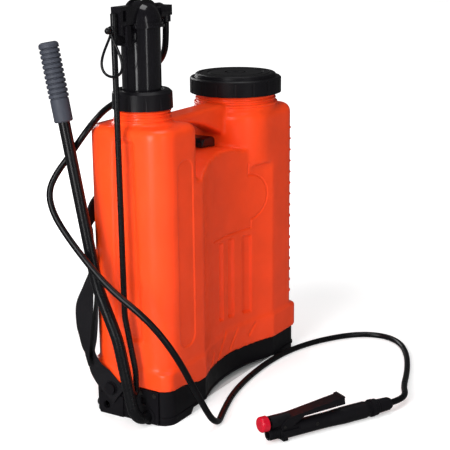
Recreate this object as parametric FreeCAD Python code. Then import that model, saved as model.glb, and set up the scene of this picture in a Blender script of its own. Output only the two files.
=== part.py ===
import FreeCAD, Part
import math
import os
from FreeCAD import Vector as V

# Knapsack sprayer standing on its base, millimetres.
# X runs across the tank (pump tower at -X, filler tower at +X), -Y is the
# outer face, +Y is the wearer's side, Z is up and z = 0 is the ground.

# ---- driving dimensions: tank and base -------------------------------------------
tank_w = 410.0            # across both towers
tank_d = 146.0            # front face to the wearer's side
wall = 3.0                # blow-moulded wall
corner_r = 34.0           # upright corners
front_sag = 22.0          # depth of the hollow in the front face
front_x0 = -100.0         # hollow from here
front_x1 = 120.0          # to here
back_sag = 7.0            # hollow that follows the wearer's back
part_z_left = 57.0        # joint between tank and base, pump side
part_z_right = 42.0       # the same joint, filler side
band_h = 44.0             # proud band round the foot of the tank
band_out = 2.2
band_corner_r = 16.0
pump_top_z = 460.0        # shoulder of the pump tower
pump_tower_w = 103.0
fill_top_z = 449.0        # shoulder of the filler tower
fill_tower_w = 158.0
fill_inner_r = 60.0       # big rounding beside the handle
saddle_side_z = 371.0     # moulded saddle between the towers, at its ends
saddle_mid_z = 396.0      # and at its crown
handle_top_z = 461.0
handle_d = 42.0           # width of the carrying handle
handle_left_t = 13.0      # thickness at the pump tower
handle_drop = 60.0        # depth at the filler tower
base_wall = 3.5
base_lift = 10.0          # clearance under the skirt between the feet
foot_len = 62.0
foot_lip = 14.0           # width of the flat rim the sprayer stands on
foot_lip_t = 3.0
base_corner_r = 22.0
arch_back_y = 20.0        # the rim is unbroken behind this line

# ---- driving dimensions: necks, cap, pump ----------------------------------------
fill_x = tank_w / 2 - 85.0       # axis of the filler neck
fill_neck_r = 65.5
fill_neck_top = 494.0
cap_r = 77.0
cap_z0 = 472.0
cap_h = 26.0
cap_crown_r = 69.0
cap_crown_h = 6.5
thread_gap = 0.6          # running clearance in the screw threads
pump_x = 55.0 - tank_w / 2       # axis of the pump
pump_neck_r = 40.0
pump_neck_top = 500.0
collar_r = 46.0
collar_z0 = 483.0
collar_h = 28.0
cyl_r = 36.0              # pump cylinder, outside
cyl_wall = 2.5
cyl_z0 = 88.0             # foot of the cylinder, near the tank's floor
chamber_r = 29.5          # air chamber that is also the plunger
chamber_wall = 3.0
chamber_z0 = 180.0
chamber_top = 603.0
slide_gap = 0.5
head_r = 35.5             # rim of the chamber head
head_h = 38.0

# ---- driving dimensions: linkage -------------------------------------------------
lever_x = -35.0 - tank_w / 2     # plane in which the lever swings
lever_tube_r = 9.0
shaft_y = -36.0           # lever shaft
shaft_z = 14.0
shaft_in_x = 110.0 - tank_w / 2  # inner end of the shaft, inside the base
lever_bend_r = 26.0
lever_knee = (-7.0, 143.0)
lever_jog = (28.0, 222.0)
lever_end = (101.0, 581.0)
grip_len = 118.0
grip_r = 15.0
grip_rib_count = 11
rod_x = -17.0 - tank_w / 2
rod_r = 4.5
pin_y = -5.0              # upper pin of the link rod
pin_z = 604.0
pin_r = 3.0
crank_y = -26.0           # lower pivot of the link rod, on the lever
crank_z = 55.0
pivot_gap = 0.6           # clearance at the lower pivot

# ---- driving dimensions: hose and spray handle -----------------------------------
hose_r = 5.0
hose_bore_r = 3.5
floor_gap = 0.5           # the hose lies this far above the ground plane
wand_angle = -28.8        # direction of the spray handle on the ground
wand_x = -174.4           # its outlet
wand_y = -228.6
wand_z = 14.2
hose_end_u = 216.0         # where the hose ends inside the handle's nut
trigger_len = 142.0
trigger_w = 21.0
trigger_lift = 6.5        # slope of the released trigger, degrees
strap_w = 36.0
strap_tail_w = 38.0
strap_t = 2.0

half_w = tank_w / 2
half_d = tank_d / 2
side_face = -half_w
UP = V(0, 0, 1)
os.makedirs("parts", exist_ok=True)


# ---- small builders --------------------------------------------------------------
def save(name, shape):
    if isinstance(shape, (list, tuple)):
        shape = Part.makeCompound(list(shape))
    shape.exportStep(f"parts/{name}.step")


def cyl(x, y, z, r, h, axis=UP):
    return Part.makeCylinder(r, h, V(x, y, z), axis)


def ring(x, y, z, r_out, r_in, h, axis=UP):
    inner = Part.makeCylinder(r_in, h + 2, V(x, y, z) - axis, axis)
    return cyl(x, y, z, r_out, h, axis).cut(inner)


def box(x0, x1, y0, y1, z0, z1):
    return Part.makeBox(x1 - x0, y1 - y0, z1 - z0, V(x0, y0, z0))


def lathe(points, x, y, z=0.0):
    """Solid of revolution about a vertical axis from (radius, height) points."""
    wire = Part.makePolygon([V(r, 0, h) for r, h in points + points[:1]])
    solid = Part.Face(wire).revolve(V(0, 0, 0), UP, 360)
    solid.translate(V(x, y, z))
    return solid


def fuse(shapes):
    out = shapes[0]
    if len(shapes) > 1:
        out = out.fuse(shapes[1:])
    return out.removeSplitter()


def polygon_prism(points, start, depth):
    """Prism of a polygon: 3D points in one plane, pushed along depth from start."""
    face = Part.Face(Part.makePolygon([V(*p) for p in points + points[:1]]))
    face.translate(start)
    return face.extrude(depth)


def rounded_rect_face(x0, x1, y0, y1, r_left, r_right, z):
    """Plan face whose left pair and right pair of corners have their own radii."""
    def quarter(cx, cy, r, a0):
        a = [math.radians(a0 + k * 45) for k in range(3)]
        p = [V(cx + r * math.cos(t), cy + r * math.sin(t), z) for t in a]
        return Part.Arc(*p).toShape(), p[0], p[2]
    arcs = [quarter(x0 + r_left, y0 + r_left, r_left, 180),
            quarter(x1 - r_right, y0 + r_right, r_right, 270),
            quarter(x1 - r_right, y1 - r_right, r_right, 0),
            quarter(x0 + r_left, y1 - r_left, r_left, 90)]
    edges = []
    for k, (arc, _, end) in enumerate(arcs):
        edges.append(arc)
        edges.append(Part.LineSegment(end, arcs[(k + 1) % 4][1]).toShape())
    return Part.Face(Part.Wire(edges))


def tower(x0, x1, r_left, r_right, z0, z1, inset, top_r):
    """Upright tower with a rounded shoulder."""
    r_left = max(r_left - inset, 2.0)
    r_right = max(r_right - inset, 2.0)
    face = rounded_rect_face(x0 + inset, x1 - inset, -half_d + inset, half_d - inset, r_left, r_right, z0)
    solid = face.extrude(V(0, 0, z1 - inset - z0))
    top = [e for e in solid.Edges if e.BoundBox.ZMin > z1 - inset - 0.1]
    return solid.makeFillet(top_r, top)


def body_plan(inset, z, r=None, out=0.0):
    """Plan of the tank: rounded corners, hollow front and slightly hollow back."""
    r = (corner_r if r is None else r) - inset
    x0, x1 = -half_w + inset - out, half_w - inset + out
    y0, y1 = -half_d + inset - out, half_d - inset + out
    outline = rounded_rect_face(x0, x1, y0, y1, r, r, z)
    depth = y0 - 30
    front = Part.Wire([
        Part.Arc(V(front_x0, y0, z), V((front_x0 + front_x1) / 2, y0 + front_sag, z),
                 V(front_x1, y0, z)).toShape(),
        Part.LineSegment(V(front_x1, y0, z), V(front_x1, depth, z)).toShape(),
        Part.LineSegment(V(front_x1, depth, z), V(front_x0, depth, z)).toShape(),
        Part.LineSegment(V(front_x0, depth, z), V(front_x0, y0, z)).toShape()])
    reach = half_w - corner_r - 20
    back = Part.Wire([
        Part.Arc(V(-reach, y1, z), V(0, y1 - back_sag, z), V(reach, y1, z)).toShape(),
        Part.LineSegment(V(reach, y1, z), V(reach, y1 + 30, z)).toShape(),
        Part.LineSegment(V(reach, y1 + 30, z), V(-reach, y1 + 30, z)).toShape(),
        Part.LineSegment(V(-reach, y1 + 30, z), V(-reach, y1, z)).toShape()])
    return outline.cut([Part.Face(front), Part.Face(back)]).Faces[0]


def above_joint(lift):
    """Everything above the sloping joint between tank and base, raised by lift."""
    step0, step1 = -half_w + 34, -half_w + 86
    pts = [(-half_w - 60, 0, part_z_left + lift), (step0, 0, part_z_left + lift),
           (step1, 0, part_z_right + 5 + lift), (half_w + 60, 0, part_z_right + lift),
           (half_w + 60, 0, 700), (-half_w - 60, 0, 700)]
    return polygon_prism(pts, V(0, -150, 0), V(0, 300, 0))


def under_saddle(inset):
    """Everything below the domed saddle that joins the towers."""
    za, zm = saddle_side_z - inset, saddle_mid_z - inset
    xa, xb = -half_w + pump_tower_w, half_w - fill_tower_w + 48
    edges = [Part.Arc(V(xa, -150, za), V((xa + xb) / 2, -150, zm), V(xb, -150, za)).toShape()]
    loop = [(xb, za), (half_w + 60, za), (half_w + 60, 0), (-half_w - 60, 0), (-half_w - 60, za),
            (xa, za)]
    for a, b in zip(loop, loop[1:]):
        edges.append(Part.LineSegment(V(a[0], -150, a[1]), V(b[0], -150, b[1])).toShape())
    return Part.Face(Part.Wire(edges)).extrude(V(0, 300, 0))


def tank_form(inset):
    """Closed form of the tank, shrunk by inset for the inside."""
    lower = body_plan(inset, 30).extrude(V(0, 0, 400)).common(under_saddle(inset))
    pump = tower(-half_w, -half_w + pump_tower_w, corner_r, 24, saddle_side_z - 12, pump_top_z, inset, 13)
    filler = tower(half_w - fill_tower_w, half_w, fill_inner_r, corner_r, saddle_side_z - 12, fill_top_z,
                   inset, 15)
    form = lower.fuse([pump, filler])
    return form.common(above_joint(inset))


# ---- tank ------------------------------------------------------------------------
def tank_handle():
    """Carrying handle: a blade at the pump tower that deepens to the filler tower."""
    xa = -half_w + pump_tower_w - 14
    xb = half_w - fill_tower_w + 16
    zt = handle_top_z
    edges = [Part.LineSegment(V(xa, 0, zt), V(xb, 0, zt)).toShape(),
             Part.LineSegment(V(xb, 0, zt), V(xb, 0, zt - handle_drop)).toShape(),
             Part.Arc(V(xb, 0, zt - handle_drop), V(xa + 100, 0, zt - handle_left_t - 11),
                      V(xa, 0, zt - handle_left_t)).toShape(),
             Part.LineSegment(V(xa, 0, zt - handle_left_t), V(xa, 0, zt)).toShape()]
    bar = Part.Face(Part.Wire(edges)).extrude(V(0, handle_d, 0))
    bar.translate(V(0, -handle_d / 2, 0))
    long_edges = [e for e in bar.Edges if e.BoundBox.XLength > 60]
    return bar.makeFillet(5, long_edges)


def threads(x, z0, r, count, pitch, depth, width):
    return [ring(x, 0, z0 + k * pitch, r + depth, r - 1, width) for k in range(count)]


band = body_plan(0, part_z_right, band_corner_r, band_out).extrude(V(0, 0, band_h)).common(above_joint(0))
neck_wall = 2.5
pump_neck = cyl(pump_x, 0, pump_top_z - 6, pump_neck_r, pump_neck_top - pump_top_z + 6)
fill_neck = cyl(fill_x, 0, fill_top_z - 6, fill_neck_r, fill_neck_top - fill_top_z + 6)
neck_beads = [cyl(pump_x, 0, pump_top_z - 3, pump_neck_r + 3.5, 12),
              cyl(fill_x, 0, fill_top_z - 3, fill_neck_r + 4, 9)]
solid_tank = tank_form(0).fuse([band, tank_handle(), pump_neck, fill_neck] + neck_beads)
solid_tank = solid_tank.fuse(threads(pump_x, pump_neck_top - 13, pump_neck_r, 2, 6.5, 1.8, 2.6)
                             + threads(fill_x, fill_neck_top - 16, fill_neck_r, 2, 7.5, 2.2, 3.0))
stud_y, stud_r, stud_top = 34.0, 5.0, 399.0
stud_x = (-20.0, 18.0)
studs = [cyl(x, stud_y, saddle_mid_z - 8, stud_r, stud_top - saddle_mid_z + 8) for x in stud_x]
solid_tank = solid_tank.fuse(studs).cut([cyl(x, stud_y, stud_top - 10, 2.0, 20) for x in stud_x])
inside = tank_form(wall).fuse([
    cyl(pump_x, 0, pump_top_z - 20, pump_neck_r - neck_wall, 80),
    cyl(fill_x, 0, fill_top_z - 20, fill_neck_r - neck_wall, 80)])
tank = solid_tank.cut(inside)

# shallow upright channel in the pump side, where the link rod runs
channel = Part.makeLoft([
    Part.makePolygon([V(side_face - 20, y, z) for y in (-22 - s, 20 + s)]
                     + [V(side_face + 5, 16 + s, z), V(side_face + 5, -18 - s, z),
                        V(side_face - 20, -22 - s, z)])
    for z, s in ((130, 8), (pump_top_z - 18, 0))], True, True)
channel_wall = Part.makeLoft([
    Part.makePolygon([V(side_face - 1, -26 - s, z), V(side_face - 1, 24 + s, z),
                      V(side_face + 5 + wall, 20 + s, z),
                      V(side_face + 5 + wall, -22 - s, z), V(side_face - 1, -26 - s, z)])
    for z, s in ((126, 8), (pump_top_z - 15, 0))], True, True)
tank = tank.fuse(channel_wall.common(solid_tank)).cut(channel)
save("tank_shell", tank.removeSplitter())

# ---- base ------------------------------------------------------------------------
below_joint = box(-260, 260, -140, 140, -5, 200).cut(above_joint(0))
skirt = body_plan(0, 0, base_corner_r).extrude(V(0, 0, 90)).common(below_joint)
hollow = body_plan(base_wall, -1, base_corner_r).extrude(V(0, 0, 90)).common(
    box(-260, 260, -140, 140, -5, 200).cut(above_joint(-base_wall)))
skirt = skirt.cut(hollow)
bead_h, bead_out = 3.0, 1.4
bead = body_plan(0, base_lift, base_corner_r, bead_out).extrude(V(0, 0, bead_h))
bead = bead.cut(body_plan(base_wall, base_lift - 1, base_corner_r).extrude(V(0, 0, bead_h + 2)))
lip = body_plan(0, 0, base_corner_r).extrude(V(0, 0, foot_lip_t))
lip = lip.cut(body_plan(foot_lip, -1, base_corner_r).extrude(V(0, 0, foot_lip_t + 2)))
skirt = skirt.fuse([bead, lip])
foot_in = half_w - foot_len
arch_pts = [(-foot_in, 0, -1), (-foot_in + 8, 0, base_lift), (foot_in - 8, 0, base_lift),
            (foot_in, 0, -1)]
skirt = skirt.cut(polygon_prism(arch_pts, V(0, -150, 0), V(0, 150 + arch_back_y, 0)))
ribs = [box(x - 1.5, x + 1.5, -half_d + 1, half_d - 1, base_lift + 6, part_z_right + 8) for x in (-60,
                                                                                                  40, 130)]
rib_solid = fuse(ribs).common(body_plan(1, 0, base_corner_r).extrude(V(0, 0, 90))).common(below_joint)
skirt = skirt.fuse(rib_solid)
lug_hole_y, lug_hole_z, lug_hole_r = 44.0, 15.0, 6.5
lug = box(side_face - 2.5, side_face + base_wall, 12, 57, 0, 34)
skirt = skirt.fuse(lug)
skirt = skirt.cut(cyl(side_face - 5, lug_hole_y, lug_hole_z, lug_hole_r, 14, V(1, 0, 0)))
bush_r = lever_tube_r + 3.0
bearing_gap = 0.3
bush_flange = 1.8
skirt = skirt.cut(cyl(side_face - 5, shaft_y, shaft_z, bush_r + 0.2, 14, V(1, 0, 0)))
web_x = shaft_in_x - 12
web = box(web_x - 4, web_x, shaft_y - 24, shaft_y + 24, 2, part_z_right + 6).common(
    body_plan(1, 0, base_corner_r).extrude(V(0, 0, 90))).common(below_joint)
skirt = skirt.fuse(web).cut(cyl(web_x - 8, shaft_y, shaft_z, bush_r + 0.2, 14, V(1, 0, 0)))
strap_bolt_y, strap_bolt_z = 31.0, 47.0
boss_len = 12.0
for side in (-1, 1):
    x_in = side * (half_w - base_wall)
    boss_z = strap_bolt_z if side < 0 else part_z_right - 13
    boss = cyl(x_in, strap_bolt_y, boss_z, 6, boss_len, V(-side, 0, 0))
    skirt = skirt.fuse(boss)
    skirt = skirt.cut(cyl(x_in + side * 8, strap_bolt_y, boss_z, 3.2, boss_len + 10, V(-side, 0, 0)))
plate_t = 4.0
screw_spots = [(-24.0, 50.0), (-50.0, 50.0)]
for y, z in screw_spots:
    skirt = skirt.cut(cyl(side_face - 5, y, z, 1.6, 14, V(1, 0, 0)))
deck_spots = [(-175, 44), (-30, -20), (-30, 44), (80, -20), (80, 44), (175, -30), (175, 44)]


def deck_z(x):
    """Top of the base's deck, which follows the sloping joint."""
    if x < -half_w + 34:
        return part_z_left
    return part_z_right + 5 * (half_w + 60 - x) / (2 * half_w - 26)


def screw_in_deck(x, y, top):
    """Pan-head screw from below, its shank in the deck."""
    under = top - base_wall - 0.05
    return cyl(x, y, under - 2, 4.2, 2).fuse(cyl(x, y, under - 1, 1.98, base_wall + 0.6))


for x, y in deck_spots:
    skirt = skirt.cut(cyl(x, y, deck_z(x) - 8, 2.02, 12))
skirt = skirt.cut(box(side_face - 8, side_face, shaft_y - 21, shaft_y + 19, 0, part_z_left))
save("base_skirt", skirt.removeSplitter())

plate = box(side_face - plate_t, side_face, shaft_y - 20, shaft_y + 18, 2, part_z_left - 1)
plate = plate.cut(cyl(side_face - 8, shaft_y, shaft_z, bush_r + 0.2, 14, V(1, 0, 0)))
plate = plate.cut(box(side_face - 8, side_face + 2, shaft_y + 2, shaft_y + 12, 32, 43))
for y, z in screw_spots:
    plate = plate.cut(cyl(side_face - 8, y, z, 1.6, 14, V(1, 0, 0)))
save("lever_bearing_plate", plate)

plate_screws = []
for y, z in screw_spots:
    head = cyl(side_face - plate_t - 2, y, z, 3.4, 2, V(1, 0, 0))
    plate_screws.append(head.fuse(cyl(side_face - plate_t, y, z, 1.5, 11, V(1, 0, 0))))
save("bearing_plate_screws", plate_screws)

bush_in = lever_tube_r + bearing_gap
outer_bush = ring(side_face - plate_t - 1.5, shaft_y, shaft_z, bush_r + bush_flange, bush_in, 1.4,
                  V(1, 0, 0)).fuse(
    ring(side_face - plate_t - 0.1, shaft_y, shaft_z, bush_r, bush_in, plate_t + base_wall + 1,
         V(1, 0, 0)))
save("lever_bush_outer", outer_bush.removeSplitter())
inner_bush = ring(web_x - 6, shaft_y, shaft_z, bush_r, bush_in, 8, V(1, 0, 0)).fuse(
    ring(web_x + 0.1, shaft_y, shaft_z, bush_r + bush_flange, bush_in, 1.9, V(1, 0, 0)))
save("lever_bush_inner", inner_bush.removeSplitter())

base_screws = [screw_in_deck(x, y, deck_z(x)) for x, y in deck_spots]
save("base_screws", base_screws)

# ---- filler: strainer, gasket, cap, vent -----------------------------------------
strainer_r = fill_neck_r - neck_wall - 1.0
strainer_depth = 70.0
rim_z = fill_neck_top
strainer = lathe([(strainer_r, -strainer_depth), (strainer_r, 0), (fill_neck_r + 0.5, 0),
                  (fill_neck_r + 0.5, 1.8),
                  (strainer_r - 2, 1.8), (strainer_r - 2, -strainer_depth + 2), (0, -strainer_depth + 2),
                  (0, -strainer_depth)], fill_x, 0, rim_z)
slots = []
for k in range(12):
    slot = box(strainer_r - 6, strainer_r + 4, -5, 5, rim_z - strainer_depth + 8, rim_z - 14)
    slot.rotate(V(0, 0, 0), UP, k * 30)
    slot.translate(V(fill_x, 0, 0))
    slots.append(slot)
for k in range(-3, 4):
    slots.append(box(fill_x + k * 14 - 4, fill_x + k * 14 + 4, -36, 36, rim_z - strainer_depth - 2,
                     rim_z - strainer_depth + 4))
save("filler_strainer", strainer.cut(slots))

gasket_t = 2.0
save("cap_gasket", ring(fill_x, 0, rim_z + 1.8, fill_neck_r + 1.0, fill_neck_r - 8, gasket_t))

cap_top = cap_z0 + cap_h
cap_in_r = fill_neck_r + 2.2 + thread_gap
cap_deck = rim_z + 1.8 + gasket_t
cap = lathe([(cap_in_r, cap_z0), (cap_r, cap_z0), (cap_r, cap_top - 2), (cap_r - 2, cap_top),
             (cap_crown_r, cap_top),
             (cap_crown_r - 1.5, cap_top + cap_crown_h - 1.5), (cap_crown_r - 4, cap_top + cap_crown_h),
             (0, cap_top + cap_crown_h), (0, cap_deck), (cap_in_r, cap_deck)], fill_x, 0)
for k, r in enumerate((60, 48, 18)):
    cap = cap.cut(ring(fill_x, 0, cap_top + cap_crown_h - 1.0 - 0.2 * k, r, r - 3, 5))
cap_flutes = []
for k in range(16):
    flute = cyl(cap_r + 4.2, 0, cap_z0 - 1, 5.0, cap_h - 3)
    flute.rotate(V(0, 0, 0), UP, k * 22.5 + 8)
    flute.translate(V(fill_x, 0, 0))
    cap_flutes.append(flute)
vent_r = 5.0
cap = cap.cut(cap_flutes).cut(cyl(fill_x, 0, cap_deck - 1, vent_r + 0.3, 30))
save("filler_cap", cap)
cap_face = cap_top + cap_crown_h
vent = lathe([(0, cap_deck - 3), (vent_r + 2.5, cap_deck - 3), (vent_r + 2.5, cap_deck),
              (vent_r, cap_deck),
              (vent_r, cap_face - 0.4), (0, cap_face - 0.4)], fill_x, 0)
save("cap_vent_valve", vent.cut(cyl(fill_x, 0, cap_deck - 5, 1.2, 12)))

# ---- pump fixed in the tank ------------------------------------------------------
cyl_in = cyl_r - cyl_wall
seat_r = 14.0
pump_floor = cyl_z0 + 6
cylinder = lathe([(seat_r, cyl_z0), (cyl_r, cyl_z0), (cyl_r, pump_neck_top),
                  (pump_neck_r - 0.2, pump_neck_top),
                  (pump_neck_r - 0.2, pump_neck_top + 3), (cyl_in, pump_neck_top + 3),
                  (cyl_in, pump_floor),
                  (seat_r, pump_floor)], pump_x, 0)
save("pump_cylinder", cylinder)

valve_hole_r = 6.0
ball_r = 8.0
valve_seat = lathe([(valve_hole_r, cyl_z0 - 12), (seat_r - 2, cyl_z0 - 12), (seat_r - 2, cyl_z0 - 3),
                    (seat_r + 4, cyl_z0 - 3), (seat_r + 4, cyl_z0 - 0.05), (seat_r - 0.2, cyl_z0 - 0.05),
                    (seat_r - 0.2, pump_floor - 0.2), (ball_r + 0.6, pump_floor - 0.2),
                    (ball_r + 0.6, cyl_z0 - 1),
                    (valve_hole_r, cyl_z0 - 5)], pump_x, 0)
save("inlet_valve_seat", valve_seat)
ball_rise = math.sqrt(ball_r ** 2 - valve_hole_r ** 2)
inlet_ball_z = cyl_z0 - 5 + ball_rise + 1.3
save("inlet_valve_ball", Part.makeSphere(ball_r - 0.2, V(pump_x, 0, inlet_ball_z)))
screen = lathe([(seat_r + 1, cyl_z0 - 20), (seat_r + 1, cyl_z0 - 3.2), (seat_r - 1.8, cyl_z0 - 3.2),
                (seat_r - 1.8, cyl_z0 - 18), (0, cyl_z0 - 18), (0, cyl_z0 - 20)], pump_x, 0)
screen_slots = [box(pump_x - 30, pump_x + 30, y - 1, y + 1, cyl_z0 - 24, cyl_z0 - 13) for y in (-9, -3, 3, 9)]
screen = screen.cut(screen_slots)
save("inlet_screen", screen)

collar_top = collar_z0 + collar_h
collar_in = pump_neck_r + 1.8 + thread_gap
gland_r = chamber_r + slide_gap
collar_deck = pump_neck_top + 5.2
collar = lathe([(collar_in, collar_z0), (collar_r, collar_z0), (collar_r - 0.8, collar_top - 4),
                (collar_r - 5, collar_top), (gland_r + 3, collar_top), (gland_r + 2, collar_top - 2.5),
                (gland_r, collar_top - 2.5), (gland_r, collar_deck), (collar_in, collar_deck)], pump_x, 0)
grips = []
for k in range(12):
    groove = cyl(collar_r + 5.6, 0, collar_z0 - 1, 6.5, collar_h - 6)
    groove.rotate(V(0, 0, 0), UP, k * 30 + 10)
    groove.translate(V(pump_x, 0, 0))
    grips.append(groove)
save("pump_collar", collar.cut(grips))
save("collar_gasket", ring(pump_x, 0, pump_neck_top + 3.05, pump_neck_r + 0.5, gland_r + 0.2, 2.1))

# ---- plunger: air chamber with its head, piston, valves --------------------------
ch_in = chamber_r - chamber_wall
save("air_chamber", ring(pump_x, 0, chamber_z0, chamber_r, ch_in, chamber_top - chamber_z0))

piston_z0 = chamber_z0 - 34
groove_r = chamber_r - 1.5
piston = lathe([(5, piston_z0), (cyl_in - 1.2, piston_z0), (cyl_in - 1.2, piston_z0 + 5),
                (groove_r - 3, piston_z0 + 5),
                (groove_r - 3, piston_z0 + 19), (cyl_in - 1.2, piston_z0 + 19),
                (cyl_in - 1.2, piston_z0 + 24),
                (chamber_r, piston_z0 + 24), (chamber_r, chamber_z0 - 0.05),
                (ch_in - 0.2, chamber_z0 - 0.05),
                (ch_in - 0.2, chamber_z0 + 8), (ball_r + 0.6, chamber_z0 + 8),
                (ball_r + 0.6, piston_z0 + 16),
                (5, piston_z0 + 13)], pump_x, 0)
save("piston", piston)
cup = lathe([(groove_r - 2.9, piston_z0 + 5.1), (cyl_in - 1.5, piston_z0 + 5.1),
             (cyl_in - 0.1, piston_z0 + 8),
             (cyl_in - 0.1, piston_z0 + 16), (cyl_in - 1.5, piston_z0 + 18.9),
             (groove_r - 2.9, piston_z0 + 18.9)],
            pump_x, 0)
save("piston_cup_seal", cup)
delivery_ball_z = piston_z0 + 16 + math.sqrt(ball_r ** 2 - 25) - 1.5
save("delivery_valve_ball", Part.makeSphere(ball_r - 0.2, V(pump_x, 0, delivery_ball_z + 1.2)))

rim_z0 = chamber_top
dome_top = rim_z0 + head_h
dome_r = chamber_r + 1.5
dome_z = rim_z0 + 7.0
dome_h = dome_top - dome_z
dome_ball_r = (dome_r ** 2 + dome_h ** 2) / (2 * dome_h)
dome_mid = (math.asin((dome_z - dome_top + dome_ball_r) / dome_ball_r) + math.pi / 2) / 2
dome_mid_pt = (dome_ball_r * math.cos(dome_mid),
               dome_top - dome_ball_r + dome_ball_r * math.sin(dome_mid))
spigot = ch_in - 0.2
outline = [(0, rim_z0 - 4), (0, rim_z0 - 14), (spigot, rim_z0 - 14), (spigot, rim_z0 + 0.05),
           (head_r, rim_z0 + 0.05),
           (head_r, rim_z0 + 3.5), (head_r - 2, rim_z0 + 3.5), (head_r - 2, dome_z), (dome_r, dome_z)]
profile = [Part.LineSegment(V(a[0], 0, a[1]), V(b[0], 0, b[1])).toShape() for a,
           b in zip(outline, outline[1:])]
profile.append(Part.Arc(V(dome_r, 0, dome_z), V(dome_mid_pt[0], 0, dome_mid_pt[1]),
                        V(0, 0, dome_top)).toShape())
profile.append(Part.LineSegment(V(0, 0, dome_top), V(0, 0, rim_z0 - 4)).toShape())
head = Part.Face(Part.Wire(profile)).revolve(V(0, 0, 0), UP, 360)
head.translate(V(pump_x, 0, 0))
arm_gap = rod_r + 0.8
arm_x0 = rod_x + arm_gap
arm_half = 8.0
arm = box(arm_x0, pump_x - 18, pin_y - arm_half, pin_y + arm_half, rim_z0 + 6, rim_z0 + 33)
arm = arm.fuse(box(arm_x0, arm_x0 + 20, pin_y - arm_half, pin_y + arm_half, pin_z - 8, rim_z0 + 10))
arm = arm.cut(box(arm_x0 + 7, arm_x0 + 15, pin_y - arm_half - 1, pin_y + arm_half + 1, rim_z0 + 12,
                  rim_z0 + 27))
rib_t = 3.0
rib_r = dome_ball_r + 2.0
head_ribs = [cyl(pump_x, y - rib_t / 2, dome_top - dome_ball_r, rib_r, rib_t, V(0, 1, 0)) for y in (-11,
                                                                                                    9)]
rib_zone = cyl(pump_x, 0, dome_z - 1, dome_r + 0.5, dome_h + 6)
head = head.fuse([rib.common(rib_zone) for rib in head_ribs] + [arm])
head = head.cut(cyl(arm_x0 - 2, pin_y, pin_z, pin_r + 0.05, 14, V(1, 0, 0)))
outlet_z = rim_z0 + 18.0
outlet_r = 7.0
elbow_x = -84.0            # the elbow turns down here
spout = cyl(pump_x + 20, 0, outlet_z, outlet_r + 3.5, 26, V(1, 0, 0))
head = head.fuse(spout).cut(cyl(pump_x + 8, 0, outlet_z, outlet_r, 60, V(1, 0, 0)))
head = head.cut(cyl(pump_x + 14, 0, rim_z0 - 20, 5.0, 38))
save("chamber_head", head.removeSplitter())

save("riser_tube", ring(pump_x + 14, 0, chamber_z0 + 30, 4.8, 3.3, rim_z0 - chamber_z0 - 22))

clip_t = 9.0
clip_x = arm_x0 + 20 - clip_t
rod_clip = box(clip_x, clip_x + clip_t, pin_y - 12, pin_y + 10, pin_z - 24, pin_z - 8.1)
rod_clip = rod_clip.fuse(box(clip_x, clip_x + clip_t, pin_y - 12, pin_y - arm_half - 0.1, pin_z - 9,
                             pin_z + 4))
rod_clip = rod_clip.cut(box(clip_x - 1, clip_x + clip_t + 1, pin_y - 8, pin_y - 1, pin_z - 20,
                            pin_z - 11))
save("rod_clip", rod_clip)

ball_x = rod_x - rod_r - 9.0
link_pin = cyl(ball_x, pin_y, pin_z, pin_r, arm_x0 + 11 - ball_x, V(1, 0, 0))
link_pin = link_pin.fuse(Part.makeSphere(5.0, V(ball_x, pin_y, pin_z)))
save("link_pin", link_pin)


def rounded_path(points, radii):
    """Straight runs joined by tangent arcs: one wire and its length."""
    pts = [V(*p) for p in points]
    edges = []
    cursor = pts[0]
    for k in range(1, len(pts) - 1):
        a = (pts[k] - pts[k - 1]).normalize()
        b = (pts[k + 1] - pts[k]).normalize()
        turn = a.getAngle(b)
        cut_back = radii[k - 1] * math.tan(turn / 2)
        start, end = pts[k] - a * cut_back, pts[k] + b * cut_back
        inward = (b - a).normalize()
        sag = radii[k - 1] * (1 / math.cos(turn / 2) - 1)
        edges.append(Part.LineSegment(cursor, start).toShape())
        edges.append(Part.Arc(start, pts[k] + inward * sag, end).toShape())
        cursor = end
    edges.append(Part.LineSegment(cursor, pts[-1]).toShape())
    return Part.Wire(edges)


def tube(wire, r, r_in=0.0):
    """Round tube swept along a wire of runs and arcs."""
    start = wire.Edges[0].Vertexes[0].Point
    direction = wire.Edges[0].tangentAt(wire.Edges[0].FirstParameter)
    section = Part.Wire([Part.Circle(start, direction, r).toShape()])
    solid = wire.makePipeShell([section], True, False)
    if r_in > 0:
        core = wire.makePipeShell([Part.Wire([Part.Circle(start, direction, r_in).toShape()])], True,
                                  False)
        solid = solid.cut(core)
    return solid


loop_wire_r = 1.4
loop_x = rod_x - rod_r - 2.0
loop_half = 18.0
loop_low = 64.0
eye_out = pin_r + 2.6
loop_pts = [(loop_x, pin_y - 3.6, pin_z - 2), (loop_x, pin_y - loop_half, pin_z - loop_low + 18),
            (loop_x, pin_y - 9, pin_z - loop_low), (loop_x, pin_y + 9, pin_z - loop_low),
            (loop_x, pin_y + loop_half, pin_z - loop_low + 18), (loop_x, pin_y + 3.6, pin_z - 2)]
loop_body = tube(rounded_path(loop_pts, [10, 9, 9, 10]), loop_wire_r)
loop_body = loop_body.cut(cyl(loop_x - 3, pin_y, pin_z, pin_r + 0.06, 6, V(1, 0, 0)))
loop_eye = ring(loop_x - 1.5, pin_y, pin_z, eye_out, pin_r + 0.06, 3.0, V(1, 0, 0))
save("retaining_loop", fuse([loop_eye, loop_body]))

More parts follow.
